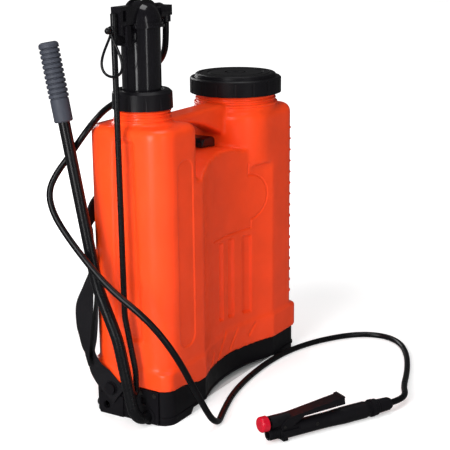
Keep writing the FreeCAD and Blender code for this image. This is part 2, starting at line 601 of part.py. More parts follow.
# ---- hose elbow on the head ------------------------------------------------------
spout_end = pump_x + 46
nut_len = 13.0
elbow_nut = ring(spout_end - nut_len + 4, 0, outlet_z, outlet_r + 6.5, outlet_r + 3.7, nut_len,
                 V(1, 0, 0))
save("elbow_nut", elbow_nut)
elbow_r = 8.0
elbow_body = cyl(spout_end + 0.05, 0, outlet_z, elbow_r, elbow_x - spout_end, V(1, 0, 0)).fuse(
    [Part.makeSphere(elbow_r + 0.3, V(elbow_x, 0, outlet_z)),
     cyl(elbow_x, 0, outlet_z - 16, elbow_r - 0.3, 16)])
elbow_body = elbow_body.fuse(box(elbow_x - 14, elbow_x + 7.4, -7.2, 7.2, outlet_z - 6.4, outlet_z + 8.9))
elbow_body = elbow_body.cut([cyl(spout_end - 1, 0, outlet_z, hose_bore_r, elbow_x - spout_end + 2,
                                 V(1, 0, 0)),
                             cyl(elbow_x, 0, outlet_z - 18, hose_bore_r, 19)])
save("hose_elbow", elbow_body.removeSplitter())
hose_start_z = outlet_z - 16.05

# ---- link rod --------------------------------------------------------------------
rod_top = rim_z0 + 24
tip_x = lever_x + lever_tube_r + 2.0 + pivot_gap
rod_pts = [(rod_x, pin_y, rod_top), (rod_x, pin_y - 3, 176), (rod_x, crank_y + 1, 92),
           (rod_x, crank_y, crank_z),
           (tip_x, crank_y, crank_z)]
rod = tube(rounded_path(rod_pts, [60, 50, 6.0]), rod_r)
rod = rod.cut(cyl(rod_x - 10, pin_y, pin_z, pin_r + 0.06, 20, V(1, 0, 0)))
save("link_rod", rod)

# ---- lever -----------------------------------------------------------------------
lever_pts = [(shaft_in_x, shaft_y, shaft_z), (lever_x, shaft_y, shaft_z), (lever_x, *lever_knee),
             (lever_x, *lever_jog),
             (lever_x, *lever_end)]
lever = tube(rounded_path(lever_pts, [lever_bend_r, 160, 160]), lever_tube_r, lever_tube_r - 1.5)
boss = cyl(lever_x, crank_y, crank_z, 6.5, lever_tube_r + 2.0, V(1, 0, 0))
lever = lever.fuse(boss)
lever = lever.cut(cyl(lever_x - 6, crank_y, crank_z, 3.0, 30, V(1, 0, 0)))
cotter_x = shaft_in_x - 5
lever = lever.cut(cyl(cotter_x, shaft_y, shaft_z - 12, 1.65, 24))
save("lever_tube", lever)
save("shaft_cotter", cyl(cotter_x, shaft_y, shaft_z - 11.5, 1.6, 23))

grip_dir = V(0, lever_end[0] - lever_jog[0], lever_end[1] - lever_jog[1]).normalize()
grip_top = V(lever_x, *lever_end) + grip_dir * 3
smooth_len = 34.0
grip_pts = [(lever_tube_r + 0.05, -grip_len), (grip_r - 2.5, -grip_len), (grip_r - 1, -grip_len + 2),
            (grip_r - 1, -grip_len + smooth_len)]
rib_pitch = (grip_len - smooth_len - 4) / grip_rib_count
for k in range(grip_rib_count):
    z0 = -grip_len + smooth_len + k * rib_pitch
    grip_pts += [(grip_r - 2.2, z0 + 0.8), (grip_r - 2.2, z0 + 1.8), (grip_r, z0 + 2.8),
                 (grip_r, z0 + rib_pitch - 0.4)]
grip_pts += [(grip_r - 1, -2), (grip_r - 4, 0), (0, 0), (0, -3.05), (lever_tube_r + 0.05, -3.05)]
grip = lathe(grip_pts, 0, 0)
grip.Placement = FreeCAD.Placement(grip_top, FreeCAD.Rotation(UP, grip_dir))
save("lever_grip", grip)

# ---- hose: straight runs and tangent arcs from the elbow to the spray handle -----
wand_dir = V(math.cos(math.radians(wand_angle)), math.sin(math.radians(wand_angle)), 0)
hose_z = hose_r + floor_gap
hose_end = V(wand_x, wand_y, wand_z) + wand_dir * hose_end_u
hose_route = [
    (elbow_x, 0, hose_start_z), (elbow_x, 0, 580), (-77, 9, 553), (-64, 38, 530), (-74, 62, 502),
    (-110, 74, 482), (-158, 63, 477), (-197, 52, 469), (-222, 61, 443), (-225, 84, 413),
    (-240, 97, 389), (-253, 103, 364), (-258, 94, 336), (-260, 71, 306), (-263, 26, 264),
    (-264, -16, 230), (-257, -77, 192), (-241, -113, 140), (-208, -125, 72), (-176, -140, hose_z),
    (-108, -113, hose_z), (-44, -92, hose_z), (30, -80, hose_z), (102, -76, hose_z), (172, -82, hose_z),
    (244, -108, hose_z), (304, -152, hose_z), (319, -200, hose_z), (298, -240, hose_z),
    (251, -271, hose_z), (207, -291, hose_z), (165, -307, hose_z + 0.5), (105, -327, hose_z + 5),
    (68, -346.5, wand_z - 1), (37, -344.8, wand_z), tuple(hose_end)]


def route_radii(points):
    """Arc radius at each inner point: 0.45 of the shorter run over the tangent of half the turn."""
    pts = [V(*p) for p in points]
    radii = []
    for a, b, c in zip(pts, pts[1:], pts[2:]):
        half_turn = (b - a).getAngle(c - b) / 2
        radii.append(0.45 * min((b - a).Length, (c - b).Length) / math.tan(half_turn))
    return radii


hose_radii = route_radii(hose_route)
hose_wire = rounded_path(hose_route, hose_radii)
hose = tube(hose_wire, hose_r)
print("hose length", round(hose_wire.Length, 1), "radii", [round(r) for r in hose_radii])
print("hose volume ratio", round(hose.Volume / (math.pi * hose_r ** 2 * hose_wire.Length), 4))
save("hose", hose)

# ---- spray handle, built along its own axis and laid on the ground ---------------
AXIS = V(1, 0, 0)
body_r = 12.0
valve_w = 18.8            # height of the plunger above the handle axis
valve_r = 10.2
valve_bore = 5.8
socket_bore_r = 6.0       # takes a 12 mm lance
socket_len = 26.0
liquid_bore_r = 5.0
stem_end = 6.0            # the plunger stands out this far past the socket's mouth
stem_cap_len = 12.2
stem_cap_gap = 2.0        # between the released cap and the socket
valve_end = 88.0
flange_r = 13.9
trigger_pin_u = 24.0
trigger_pin_w = 11.0
trigger_t = 1.4
plate_u0 = 38.0           # the trigger's plate starts behind the valve
plate_w = 21.6            # its underside when level


def lay_down(shape):
    """Turn a spray-handle piece from its own axis to its place on the ground."""
    shape.rotate(V(0, 0, 0), UP, wand_angle)
    shape.translate(V(wand_x, wand_y, wand_z))
    return shape


def across(u, w, r, reach):
    return cyl(u, -reach, w, r, 2 * reach, V(0, 1, 0))


socket = ring(0, 0, 0, 8.6, socket_bore_r, socket_len, AXIS)
socket = socket.fuse([ring(3 + 3 * k, 0, 0, 9.3, 8.4, 1.5, AXIS) for k in range(5)])
socket = socket.fuse(ring(18, 0, 0, 10.4, 8.4, 3.5, AXIS))
save("outlet_socket", lay_down(socket))

valve_body = cyl(22, 0, 0, body_r, valve_end - 22, AXIS)
valve_body = valve_body.fuse([cyl(3, 0, valve_w, valve_r, 33, AXIS), box(14, 36, -6, 6, 6, valve_w),
                              cyl(36, 0, valve_w, valve_r, 0.5, AXIS),
                              box(21.6, 30, -10.5, 10.5, -body_r, 4)])
valve_body = valve_body.cut([cyl(-1, 0, 0, 10.45, 22.55, AXIS), cyl(20, 0, 0, 8.62, 6.1, AXIS),
                             cyl(24, 0, 0, liquid_bore_r, valve_end, AXIS),
                             cyl(2, 0, valve_w, valve_bore, 28, AXIS), cyl(28, 0, 0, 2.5, valve_w),
                             cyl(valve_end - 12, 0, 0, 9.0, 20, AXIS),
                             across(trigger_pin_u, trigger_pin_w, 2.1, 20)])
screw_u = 82.0
screw_seat = body_r - 1.4
cheek_in = trigger_w / 2 - trigger_t - 0.25
for side in (-1, 1):
    y_in, y_out = sorted((side * cheek_in, side * (body_r + 3)))
    valve_body = valve_body.cut(box(13, 50, y_in, y_out, 3.5, 30))
valve_body = valve_body.cut([cyl(screw_u, 0, 3, 1.45, 20, V(0, -1, 0)),
                             cyl(screw_u, -screw_seat, 3, 2.9, 6, V(0, -1, 0))])
save("valve_body", lay_down(valve_body))

plunger = cyl(-stem_end, 0, valve_w, 3.0, stem_end + 23, AXIS).fuse(cyl(16, 0, valve_w, valve_bore - 0.4,
                                                                        3, AXIS))
plunger = plunger.fuse(cyl(21.6, 0, valve_w, valve_bore - 0.4, 3, AXIS))
save("valve_plunger", lay_down(plunger.removeSplitter()))
save("plunger_seal", lay_down(ring(19.05, 0, valve_w, valve_bore - 0.05, 3.1, 2.5, AXIS)))
cap_red_r = 12.0
stem_cap_u = -stem_cap_gap - stem_cap_len
red_cap = cyl(stem_cap_u, 0, valve_w, cap_red_r, stem_cap_len, AXIS)
red_cap = red_cap.makeFillet(3.5, [e for e in red_cap.Edges if e.BoundBox.XMax < stem_cap_u + 0.1])
red_cap = red_cap.cut(cyl(-stem_end - 0.1, 0, valve_w, 3.05, stem_end, AXIS))
save("plunger_cap", lay_down(red_cap))

channel_in = trigger_w / 2 - trigger_t
trig = box(plate_u0, trigger_len - 8, -trigger_w / 2, trigger_w / 2, plate_w, plate_w + trigger_t)
side_pts = [(plate_u0 - 6, 0, plate_w + trigger_t), (trigger_len - 8, 0, plate_w + trigger_t),
            (trigger_len - 8, 0, plate_w - 11), (60, 0, plate_w - 5), (36, 0, trigger_pin_w - 4.5),
            (20, 0, trigger_pin_w - 4.5), (17, 0, trigger_pin_w + 2)]
for side in (-1, 1):
    y0 = -trigger_w / 2 if side < 0 else channel_in
    trig = trig.fuse(polygon_prism(side_pts, V(0, y0, 0), V(0, trigger_t, 0)))
trig = trig.fuse(box(trigger_len - 14, trigger_len - 8, -trigger_w / 2 - 1.2, trigger_w / 2 + 1.2,
                     plate_w, plate_w + 2.4))
trig = trig.cut(across(trigger_pin_u, trigger_pin_w, 2.15, 20)).removeSplitter()
trig.rotate(V(trigger_pin_u, 0, trigger_pin_w), V(0, -1, 0), trigger_lift)
save("trigger", lay_down(trig))
save("trigger_pin", lay_down(across(trigger_pin_u, trigger_pin_w, 2.0, trigger_w / 2 + 2)))

spring_u = 50.0
spring_mean_r, spring_wire_r = 4.6, 0.6
spring_z0 = body_r + spring_wire_r + 0.1
spring_reach = spring_u - spring_mean_r - spring_wire_r - trigger_pin_u
plate_rise = spring_reach * math.sin(math.radians(trigger_lift))
spring_h = plate_w + plate_rise - spring_z0 - spring_wire_r - 0.2
coils = Part.makeHelix(spring_h / 6, spring_h, spring_mean_r)
coil_section = Part.Wire([Part.Circle(V(spring_mean_r, 0, 0), V(0, 1, 0), spring_wire_r).toShape()])
spring = Part.Wire(coils.Edges).makePipeShell([coil_section], True, True)
spring.translate(V(spring_u, 0, spring_z0))
save("trigger_spring", lay_down(spring))

grip_body = lathe([(8.0, 0), (8.9, 0), (8.9, 12), (body_r, 12.05), (body_r, 30), (body_r + 1.3, 60),
                   (body_r + 1.3, 100),
                   (body_r - 0.5, 108), (body_r - 0.5, 111), (flange_r, 111), (flange_r, 116),
                   (9.6, 116), (9.6, 124),
                   (6.6, 124), (6.6, 112), (8.0, 108)], 0, 0)
grip_body.rotate(V(0, 0, 0), V(0, 1, 0), 90)
grip_body.translate(V(valve_end - 12, 0, 0))
grip_body = grip_body.cut(cyl(screw_u, 0, 3, 1.45, 20, V(0, -1, 0)))
save("handle_body", lay_down(grip_body))
body_screw = cyl(screw_u, -screw_seat - 0.05, 3, 2.8, 1.6, V(0, -1, 0)).fuse(
    cyl(screw_u, -screw_seat - 1, 3, 1.4, 5, V(0, 1, 0)))
slot_y = -screw_seat - 1.65
body_screw = body_screw.cut([box(screw_u - 2, screw_u + 2, slot_y - 1, slot_y + 0.7, 2.6, 3.4),
                             box(screw_u - 0.4, screw_u + 0.4, slot_y - 1, slot_y + 0.7, 1, 5)])
save("handle_screw", lay_down(body_screw))
save("handle_filter", lay_down(ring(100, 0, 0, 7.6, 6.6, 62, AXIS)))
nut_u = valve_end - 12 + 116.3
hose_nut = lathe([(9.9, 0), (13.2, 0), (13.2, 6), (11.2, 8), (10.4, 30), (8.6, 34), (hose_r + 0.3, 34),
                  (hose_r + 0.3, 22),
                  (9.9, 16)], 0, 0)
hose_nut.rotate(V(0, 0, 0), V(0, 1, 0), 90)
hose_nut.translate(V(nut_u, 0, 0))
flutes = []
for k in range(14):
    flute = cyl(nut_u - 1, 13.9, 0, 1.3, 7.5, AXIS)
    flute.rotate(V(0, 0, 0), AXIS, k * 360 / 14)
    flutes.append(flute)
save("hose_nut", lay_down(hose_nut.cut(flutes)))
tail_u = valve_end - 12 + 124.2
hose_tail = ring(tail_u, 0, 0, 6.4, 2.6, 9, AXIS).fuse(ring(tail_u + 8, 0, 0, 4.8, 2.6,
                                                            hose_end_u - tail_u - 8.1, AXIS))
save("hose_tail", lay_down(hose_tail))

# ---- carrying straps -------------------------------------------------------------
def webbing(stations, width, thick):
    """Flat strap: ruled loft through stations of (point, width direction)."""
    pts = [V(*p) for p, _ in stations]
    wires = []
    for k, (_, across_dir) in enumerate(stations):
        run = (pts[min(k + 1, len(pts) - 1)] - pts[max(k - 1, 0)]).normalize()
        side = V(*across_dir)
        side = (side - run * side.dot(run)).normalize() * (width / 2)
        out = run.cross(side).normalize() * (thick / 2)
        c = pts[k]
        wires.append(Part.makePolygon([c - side - out, c + side - out, c + side + out, c - side + out,
                                       c - side - out]))
    return Part.makeLoft(wires, True, True)


# moulded block on the saddle that holds the upper strap ends
seat = under_saddle(-0.05)
anchor_top = 411.0
shelf_top = 402.0
block = box(-6, 34, -12, 22, saddle_mid_z - 12, anchor_top)
block_top = [e for e in block.Edges if e.BoundBox.YLength > 30 and e.BoundBox.ZMin > saddle_mid_z]
block = block.makeFillet(9, block_top)
shelf = box(-38, 36, 18, 48, saddle_mid_z - 12, shelf_top)
anchor = block.fuse(shelf).removeSplitter().cut(seat)
for x in stud_x:
    anchor = anchor.cut([cyl(x, stud_y, 380, stud_r + 0.1, stud_top - 380 + 0.1),
                         cyl(x, stud_y, 380, 2.1, 40)])
save("strap_anchor", anchor)

pad_t = 4.6
end_z = shelf_top + 0.3 + pad_t / 2
screw_top = end_z + pad_t / 2 + 0.6
save("anchor_screws", [cyl(x, stud_y, screw_top, 7.0, 1.2).fuse(
    [cyl(x, stud_y, screw_top + 1.2, 4.5, 3), cyl(x, stud_y, stud_top - 8, 1.98,
                                                  screw_top - stud_top + 8.5)]) for x in stud_x])

bolt_r = 3.15
bolt_head_r = 9.0
corner_x = half_w - corner_r   # axis of the tank's upright back corner
corner_y = half_d - corner_r
bar_z = 252.0                  # buckle bar, outside that corner
bar_reach = 41.0               # its distance from the corner's axis
bar_r = 1.5
bend = bar_r + strap_t / 2 + 0.35
buckle_half = strap_tail_w / 2 + 4


def off_corner(reach, z):
    """Point outside the back corner, on the diagonal, reach away from the corner's axis."""
    return corner_x + reach * math.sqrt(0.5), corner_y + reach * math.sqrt(0.5), z


def place(side, drop, x, y, z):
    """Strap point on one side; its foot is lowered by drop where the base is lower."""
    return side * x, y, z - drop * max(0.0, min(1.0, (140 - z) / 90))


strap_bolts = []
for name, side in (("left", -1), ("right", 1)):
    tail_z = strap_bolt_z if side < 0 else part_z_right - 13
    drop = strap_bolt_z - tail_z
    out_x = half_w + 4.5
    diagonal = (-side, 1, 0)
    tail = [((out_x, 17, strap_bolt_z - 11), (0, 0.62, -0.78)),
            ((out_x, strap_bolt_y, strap_bolt_z), (0, 0.62, -0.78)),
            ((out_x + 0.6, 46, 61), (0, 0.66, -0.75)),
            ((out_x + 2.5, 60, 78), (-0.25 * side, 0.75, -0.6)),
            ((half_w + 3, 70, 100), (-0.5 * side, 0.8, -0.3)),
            ((half_w - 0.5, 67, 126), (-0.6 * side, 0.8, -0.05)),
            ((half_w - 5, 65.5, 155), (-0.66 * side, 0.75, 0)),
            (off_corner(36.5, 190), diagonal), (off_corner(36.5, 228), diagonal),
            (off_corner(bar_reach - bend, bar_z), diagonal),
            (off_corner(bar_reach - bend * 0.75, bar_z + bend * 0.75), diagonal),
            (off_corner(bar_reach, bar_z + bend * 1.1), diagonal),
            (off_corner(bar_reach + bend * 0.75, bar_z + bend * 0.75), diagonal),
            (off_corner(bar_reach + bend, bar_z), diagonal), (off_corner(43, 228), diagonal),
            ((half_w + 1, 73, 200), (-0.45 * side, 0.9, 0)),
            ((half_w + 5.5, 78, 171), (-0.12 * side, 1, 0)),
            ((half_w + 6, 81, 139), (-0.25 * side, 0.97, 0)),
            ((half_w + 5.5, 80, 118), (-0.42 * side, 0.9, 0)),
            ((half_w + 8, 76, 97), (-0.62 * side, 0.78, 0)),
            ((half_w + 6, 76.5, 84), (-0.7 * side, 0.71, 0))]
    strap = webbing([(place(side, drop, *p), across_dir) for p, across_dir in tail], strap_tail_w,
                    strap_t)
    strap = strap.cut(cyl(side * (out_x - 4), strap_bolt_y, tail_z, bolt_r + 0.5, 8, V(side, 0, 0)))
    save(f"strap_tail_{name}", strap)

    frame = box(-buckle_half, buckle_half, -2.2, 2.2, -bar_r, 19)
    frame = frame.cut([box(4 - buckle_half, buckle_half - 4, -9, 9, bar_r, 15),
                       box(4 - buckle_half, buckle_half - 4, -9, 9, -4, bar_r + 0.5)])
    frame = frame.fuse(cyl(1 - buckle_half, 0, 0, bar_r, 2 * buckle_half - 2,
                           V(1, 0, 0))).removeSplitter()
    frame.rotate(V(0, 0, 0), UP, -45 * side)
    bar_x, bar_y, _ = off_corner(bar_reach, bar_z)
    frame.translate(V(side * bar_x, bar_y, bar_z))
    save(f"strap_buckle_{name}", frame)

    x_end = stud_x[0] if side < 0 else stud_x[1]
    pad = [((x_end, stud_y - 10, end_z), (1, 0, 0)), ((x_end + side * 2, 62, end_z + 1), (1, 0, 0)),
           ((x_end + side * 10, 84, 396), (1, 0, 0.1 * side)),
           ((side * 66, 93, 358), (0.9, 0, 0.5 * side)),
           ((side * (half_w - 90), 95, 334), (0.75, 0, 0.65 * side)),
           ((side * (half_w - 46), 92, 317), (0.7, -0.1 * side, 0.6 * side)),
           ((side * (half_w - 20), 83, 303), (0.8, -0.5 * side, 0.3 * side)),
           (place(side, 0, *off_corner(bar_reach, bar_z + 40)), (1, -side, 0)),
           (place(side, 0, *off_corner(bar_reach, bar_z + 19.4)), (1, -side, 0))]
    strap = webbing(pad, strap_w, pad_t)
    save(f"shoulder_strap_{name}", strap.cut(cyl(x_end, stud_y, end_z - 10, 2.6, 20)))

    head_x = side * (out_x + strap_t / 2 + 0.3)
    bolt = cyl(head_x, strap_bolt_y, tail_z, bolt_head_r + 2, 1.2, V(side, 0, 0))
    bolt = bolt.fuse([cyl(head_x + side * 1.2, strap_bolt_y, tail_z, bolt_head_r, 4.5, V(side, 0, 0)),
                      cyl(head_x, strap_bolt_y, tail_z, bolt_r, boss_len + 6, V(-side, 0, 0))])
    strap_bolts.append(bolt)
save("strap_bolts", strap_bolts)
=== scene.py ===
import math

import bmesh
import bpy
import numpy as np
from mathutils import Matrix, Vector


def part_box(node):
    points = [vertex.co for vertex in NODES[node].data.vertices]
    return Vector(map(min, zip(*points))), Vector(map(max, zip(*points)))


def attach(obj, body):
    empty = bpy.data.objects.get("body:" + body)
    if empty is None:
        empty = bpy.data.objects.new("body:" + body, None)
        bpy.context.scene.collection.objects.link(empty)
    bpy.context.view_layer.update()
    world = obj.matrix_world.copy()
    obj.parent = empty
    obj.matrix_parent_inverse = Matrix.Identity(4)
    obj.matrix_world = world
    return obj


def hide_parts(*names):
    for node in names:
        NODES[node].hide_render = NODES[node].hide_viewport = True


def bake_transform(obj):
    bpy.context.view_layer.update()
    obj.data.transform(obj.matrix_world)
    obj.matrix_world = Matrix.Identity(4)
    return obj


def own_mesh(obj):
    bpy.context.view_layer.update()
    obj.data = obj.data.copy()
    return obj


bl_info = {
    "name": "Knapsack Sprayer",
    "version": (1, 0, 0),
    "blender": (4, 5, 0),
    "location": "3D View > Sidebar > Sprayer",
    "description": "Builds the looks of a knapsack sprayer round its packed frame",
    "category": "Add Mesh",
}

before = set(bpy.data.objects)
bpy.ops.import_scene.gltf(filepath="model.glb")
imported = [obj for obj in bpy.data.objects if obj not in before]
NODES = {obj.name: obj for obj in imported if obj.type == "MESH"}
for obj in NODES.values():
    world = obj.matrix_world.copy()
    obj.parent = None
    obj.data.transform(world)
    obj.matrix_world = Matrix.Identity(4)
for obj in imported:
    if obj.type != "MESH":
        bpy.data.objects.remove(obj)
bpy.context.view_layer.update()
MM = 0.001
TAU = 2.0 * math.pi


def middle(node):
    """Middle of a CAD node's box, to a tenth of a millimetre."""
    low, high = (np.array(corner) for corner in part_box(node))
    return np.round((low + high) / 2, 4)


PUMP_X = float(middle("pump_collar")[0])
FILL_X = float(middle("cap_gasket")[0])


# ---- colours and nodes -----------------------------------------------------------
def linear(hex_colour):
    """An sRGB hex colour as linear red, green and blue."""
    channels = np.array([int(hex_colour[k:k + 2], 16) for k in (0, 2, 4)]) / 255.0
    low, high = channels / 12.92, ((channels + 0.055) / 1.055) ** 2.4
    return tuple(float(c) for c in np.where(channels <= 0.04045, low, high))


def add(tree, kind, inputs=None, stops=(), **settings):
    """Adds one node: plain values are set on its inputs, and sockets are linked to them.

    Stops are the (position, linear colour) pairs of a colour ramp."""
    made = tree.nodes.new(kind)
    for key, value in settings.items():
        setattr(made, key, value)
    for key, value in (inputs or {}).items():
        if isinstance(value, bpy.types.NodeSocket):
            tree.links.new(value, made.inputs[key])
        else:
            made.inputs[key].default_value = value
    for k, (position, colour) in enumerate(stops):
        elements = made.color_ramp.elements
        element = elements[k] if k < len(elements) else elements.new(position)
        element.position = position
        element.color = (*colour[:3], 1.0)
    return made


def new_material(name):
    """An empty node material with its surface shader, output and object coordinates."""
    made = bpy.data.materials.new(name)
    made.use_nodes = True
    tree = made.node_tree
    tree.nodes.clear()
    shader = add(tree, "ShaderNodeBsdfPrincipled")
    add(tree, "ShaderNodeOutputMaterial", {"Surface": shader.outputs["BSDF"]})
    coords = add(tree, "ShaderNodeTexCoord")
    return made, tree, shader, coords


DRIFT_SCALE = 18.0            # cells per metre of the slow colour drift, about 55 mm each
GLOSS_SCALE = 80.0            # patches of gloss, about 12 mm each
WAVE_SCALE = 26.0             # waves left by blow moulding, about 38 mm each


def shade(colour, factor):
    """A linear colour made lighter or darker by a factor."""
    return tuple(min(1.0, c * factor) for c in colour[:3])


def moulded(name, colour, roughness, spread, peel_mm, peel_height, wave_height=0.0, gleam=0.5):
    """Moulded plastic or paint: slow colour drift, uneven gloss, fine skin bump and slow waves.

    The skin noise is one cell per peel_mm; gloss varies over about 12 mm patches by spread.
    Heights are in millimetres. A finish is made once: asked for again, the same one comes back."""
    if name in bpy.data.materials:
        return bpy.data.materials[name]
    made, tree, shader, coords = new_material(name)
    place = coords.outputs["Object"]
    drift = add(tree, "ShaderNodeTexNoise", {"Vector": place, "Scale": DRIFT_SCALE, "Detail": 3.0})
    tone = add(tree, "ShaderNodeValToRGB", {"Fac": drift.outputs["Fac"]},
               stops=[(0.3, shade(colour, 0.94)), (0.7, shade(colour, 1.05))])
    gloss = add(tree, "ShaderNodeTexNoise", {"Vector": place, "Scale": GLOSS_SCALE, "Detail": 4.0})
    rough = add(tree, "ShaderNodeMapRange", {
        "Value": gloss.outputs["Fac"], "From Min": 0.3, "From Max": 0.7,
        "To Min": roughness - spread, "To Max": roughness + spread})
    skin = add(tree, "ShaderNodeTexNoise", {
        "Vector": place, "Scale": 1.0 / (peel_mm * MM), "Detail": 2.0})
    bump = add(tree, "ShaderNodeBump", {
        "Height": skin.outputs["Fac"], "Distance": peel_height * MM, "Strength": 1.0})
    if wave_height:
        waves = add(tree, "ShaderNodeTexNoise", {"Vector": place, "Scale": WAVE_SCALE, "Detail": 1.0})
        bump = add(tree, "ShaderNodeBump", {
            "Height": waves.outputs["Fac"], "Distance": wave_height * MM, "Strength": 1.0,
            "Normal": bump.outputs["Normal"]})
    tree.links.new(tone.outputs["Color"], shader.inputs["Base Color"])
    tree.links.new(rough.outputs["Result"], shader.inputs["Roughness"])
    tree.links.new(bump.outputs["Normal"], shader.inputs["Normal"])
    shader.inputs["Specular IOR Level"].default_value = gleam
    return made


def tank_plastic(colours):
    """High-density polyethylene, blow-moulded: waxy satin skin with slow waves and a fine peel."""
    skin = moulded("blow_moulded_polyethylene", colours.tank, roughness=0.33, spread=0.05,
                   peel_mm=1.1, peel_height=0.03, wave_height=0.25, gleam=0.3)
    shader = next(n for n in skin.node_tree.nodes if n.type == "BSDF_PRINCIPLED")
    shader.inputs["Subsurface Weight"].default_value = 0.08
    shader.inputs["Subsurface Radius"].default_value = (0.006, 0.002, 0.001)
    return skin


def grained_plastic(colours):
    """Polypropylene moulded in a spark-eroded tool: fine matt grain under a soft gloss."""
    return moulded("moulded_polypropylene", colours.black, roughness=0.40, spread=0.07,
                   peel_mm=0.8, peel_height=0.03, gleam=0.2)


def polished_plastic(colours):
    """Polypropylene from a polished tool: deeper gloss and long clean highlights."""
    return moulded("polished_polypropylene", colours.black, roughness=0.15, spread=0.03,
                   peel_mm=1.6, peel_height=0.008, gleam=0.4)


def powder_coat(colours):
    """Powder coat on steel tube: even satin with a slight orange peel."""
    return moulded("powder_coated_steel", colours.steel, roughness=0.28, spread=0.04,
                   peel_mm=1.2, peel_height=0.02, gleam=0.35)


def zinc_plated_steel():
    """Zinc-plated steel: pale grey metal with a fine crystalline tone and soft gloss."""
    if "zinc_plated_steel" in bpy.data.materials:
        return bpy.data.materials["zinc_plated_steel"]
    made, tree, shader, coords = new_material("zinc_plated_steel")
    grain = add(tree, "ShaderNodeTexVoronoi", {"Vector": coords.outputs["Object"], "Scale": 900.0})
    tone = add(tree, "ShaderNodeValToRGB", {"Fac": grain.outputs["Distance"]},
               stops=[(0.0, linear("8E9296")), (0.8, linear("C4C8CA"))])
    rough = add(tree, "ShaderNodeMapRange", {
        "Value": grain.outputs["Distance"], "To Min": 0.28, "To Max": 0.42})
    tree.links.new(tone.outputs["Color"], shader.inputs["Base Color"])
    tree.links.new(rough.outputs["Result"], shader.inputs["Roughness"])
    shader.inputs["Metallic"].default_value = 1.0
    return made


YARN_HEIGHT = 0.35            # millimetres


def woven_webbing(colour, pitch_mm):
    """Polypropylene webbing: plump yarns, one per pitch p across, on the strap's own UV in metres.

    Height is |sin(pi x / p) sin(pi y / 2p)|, and the colour follows it: painted shade in the hollows,
    painted highlight on the crowns."""
    made, tree, shader, coords = new_material("woven_polypropylene_webbing")
    split = add(tree, "ShaderNodeSeparateXYZ", {"Vector": coords.outputs["UV"]})
    turn = math.pi / (pitch_mm * MM)

    def wave(socket, rate):
        scaled = add(tree, "ShaderNodeMath", {0: socket, 1: rate}, operation="MULTIPLY")
        return add(tree, "ShaderNodeMath", {0: scaled.outputs[0]}, operation="SINE").outputs[0]

    across = wave(split.outputs["X"], turn)
    along = wave(split.outputs["Y"], turn * 0.5)
    product = add(tree, "ShaderNodeMath", {0: across, 1: along}, operation="MULTIPLY")
    height = add(tree, "ShaderNodeMath", {0: product.outputs[0]}, operation="ABSOLUTE")
    # painted shade and highlight: the yarns' colour is darker in the hollows between them and lighter on
    # their crowns
    tone = add(tree, "ShaderNodeValToRGB", {"Fac": height.outputs[0]},
               stops=[(0.0, shade(colour, 0.45)), (0.75, shade(colour, 1.35))])
    bump = add(tree, "ShaderNodeBump", {
        "Height": height.outputs[0], "Distance": YARN_HEIGHT * MM, "Strength": 1.0})
    tree.links.new(tone.outputs["Color"], shader.inputs["Base Color"])
    tree.links.new(bump.outputs["Normal"], shader.inputs["Normal"])
    shader.inputs["Roughness"].default_value = 0.78
    shader.inputs["Specular IOR Level"].default_value = 0.2
    return made


# ---- shapes ----------------------------------------------------------------------
def ease(low, high, value):
    """Smooth step from 0 at low to 1 at high."""
    t = np.clip((value - low) / (high - low), 0.0, 1.0)
    return t * t * (3.0 - 2.0 * t)


def unit(vectors):
    """Vectors divided by their lengths."""
    return vectors / np.linalg.norm(vectors, axis=-1, keepdims=True)


def grid_faces(rows, columns, wrap):
    """Quads of a rows x columns grid of points; wrap joins the last column to the first."""
    r, c = np.meshgrid(np.arange(rows - 1), np.arange(columns - (0 if wrap else 1)), indexing="ij")
    d = (c + 1) % columns
    here, above = r * columns, (r + 1) * columns
    return np.stack([here + c, here + d, above + d, above + c], -1).reshape(-1, 4)


def new_piece(name, points, faces, material, body, caps=(), uv=None, smooth=True, recalc=False):
    """A mesh object from arrays of points and quads, with closing polygons and UVs, riding on a body."""
    mesh = bpy.data.meshes.new(name)
    closing = [list(map(int, cap)) for cap in caps]
    mesh.from_pydata(points.reshape(-1, 3).tolist(), [], faces.tolist() + closing)
    if uv is not None:
        layer = mesh.uv_layers.new(name="UVMap")
        index = np.empty(len(mesh.loops), int)
        mesh.loops.foreach_get("vertex_index", index)
        layer.data.foreach_set("uv", uv.reshape(-1, 2)[index].astype(np.float32).ravel())
    mesh.polygons.foreach_set("use_smooth", np.full(len(mesh.polygons), smooth))
    mesh.materials.append(material)
    mesh.update()
    piece = bpy.data.objects.new(name, mesh)
    bpy.context.scene.collection.objects.link(piece)
    if recalc:
        face_outward(piece)
    if body:
        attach(piece, body)
    return piece


def face_outward(piece):
    """Recalculates a closed mesh's normals to point outwards."""
    shape = bmesh.new()
    shape.from_mesh(piece.data)
    bmesh.ops.recalc_face_normals(shape, faces=shape.faces)
    shape.to_mesh(piece.data)
    shape.free()


def through(points, count):
    """Catmull-Rom curve through the points, at count even parameters."""
    p = np.asarray(points, float)
    p = np.concatenate([2 * p[:1] - p[1:2], p, 2 * p[-1:] - p[-2:-1]])
    s = np.linspace(0.0, len(p) - 3 - 1e-9, count)
    k = s.astype(int)
    t = (s - k)[:, None]
    a, b, c, d = p[k], p[k + 1], p[k + 2], p[k + 3]
    square, cube = 2 * a - 5 * b + 4 * c - d, 3 * b - a - 3 * c + d
    return 0.5 * (2 * b + (c - a) * t + square * t ** 2 + cube * t ** 3)


def round_tube(path, radius, sides):
    """Rings of a round tube: path + r (cos v n + sin v b), with n and b square to the path."""
    tangent = unit(np.gradient(path, axis=0))
    steady = np.array([0.36, 0.48, -0.8])
    n = unit(np.cross(tangent, steady))
    b = np.cross(tangent, n)
    v = np.linspace(0.0, TAU, sides, endpoint=False)
    ring = np.cos(v)[None, :, None] * n[:, None] + np.sin(v)[None, :, None] * b[:, None]
    return path[:, None] + np.reshape(radius, (-1, 1, 1)) * ring


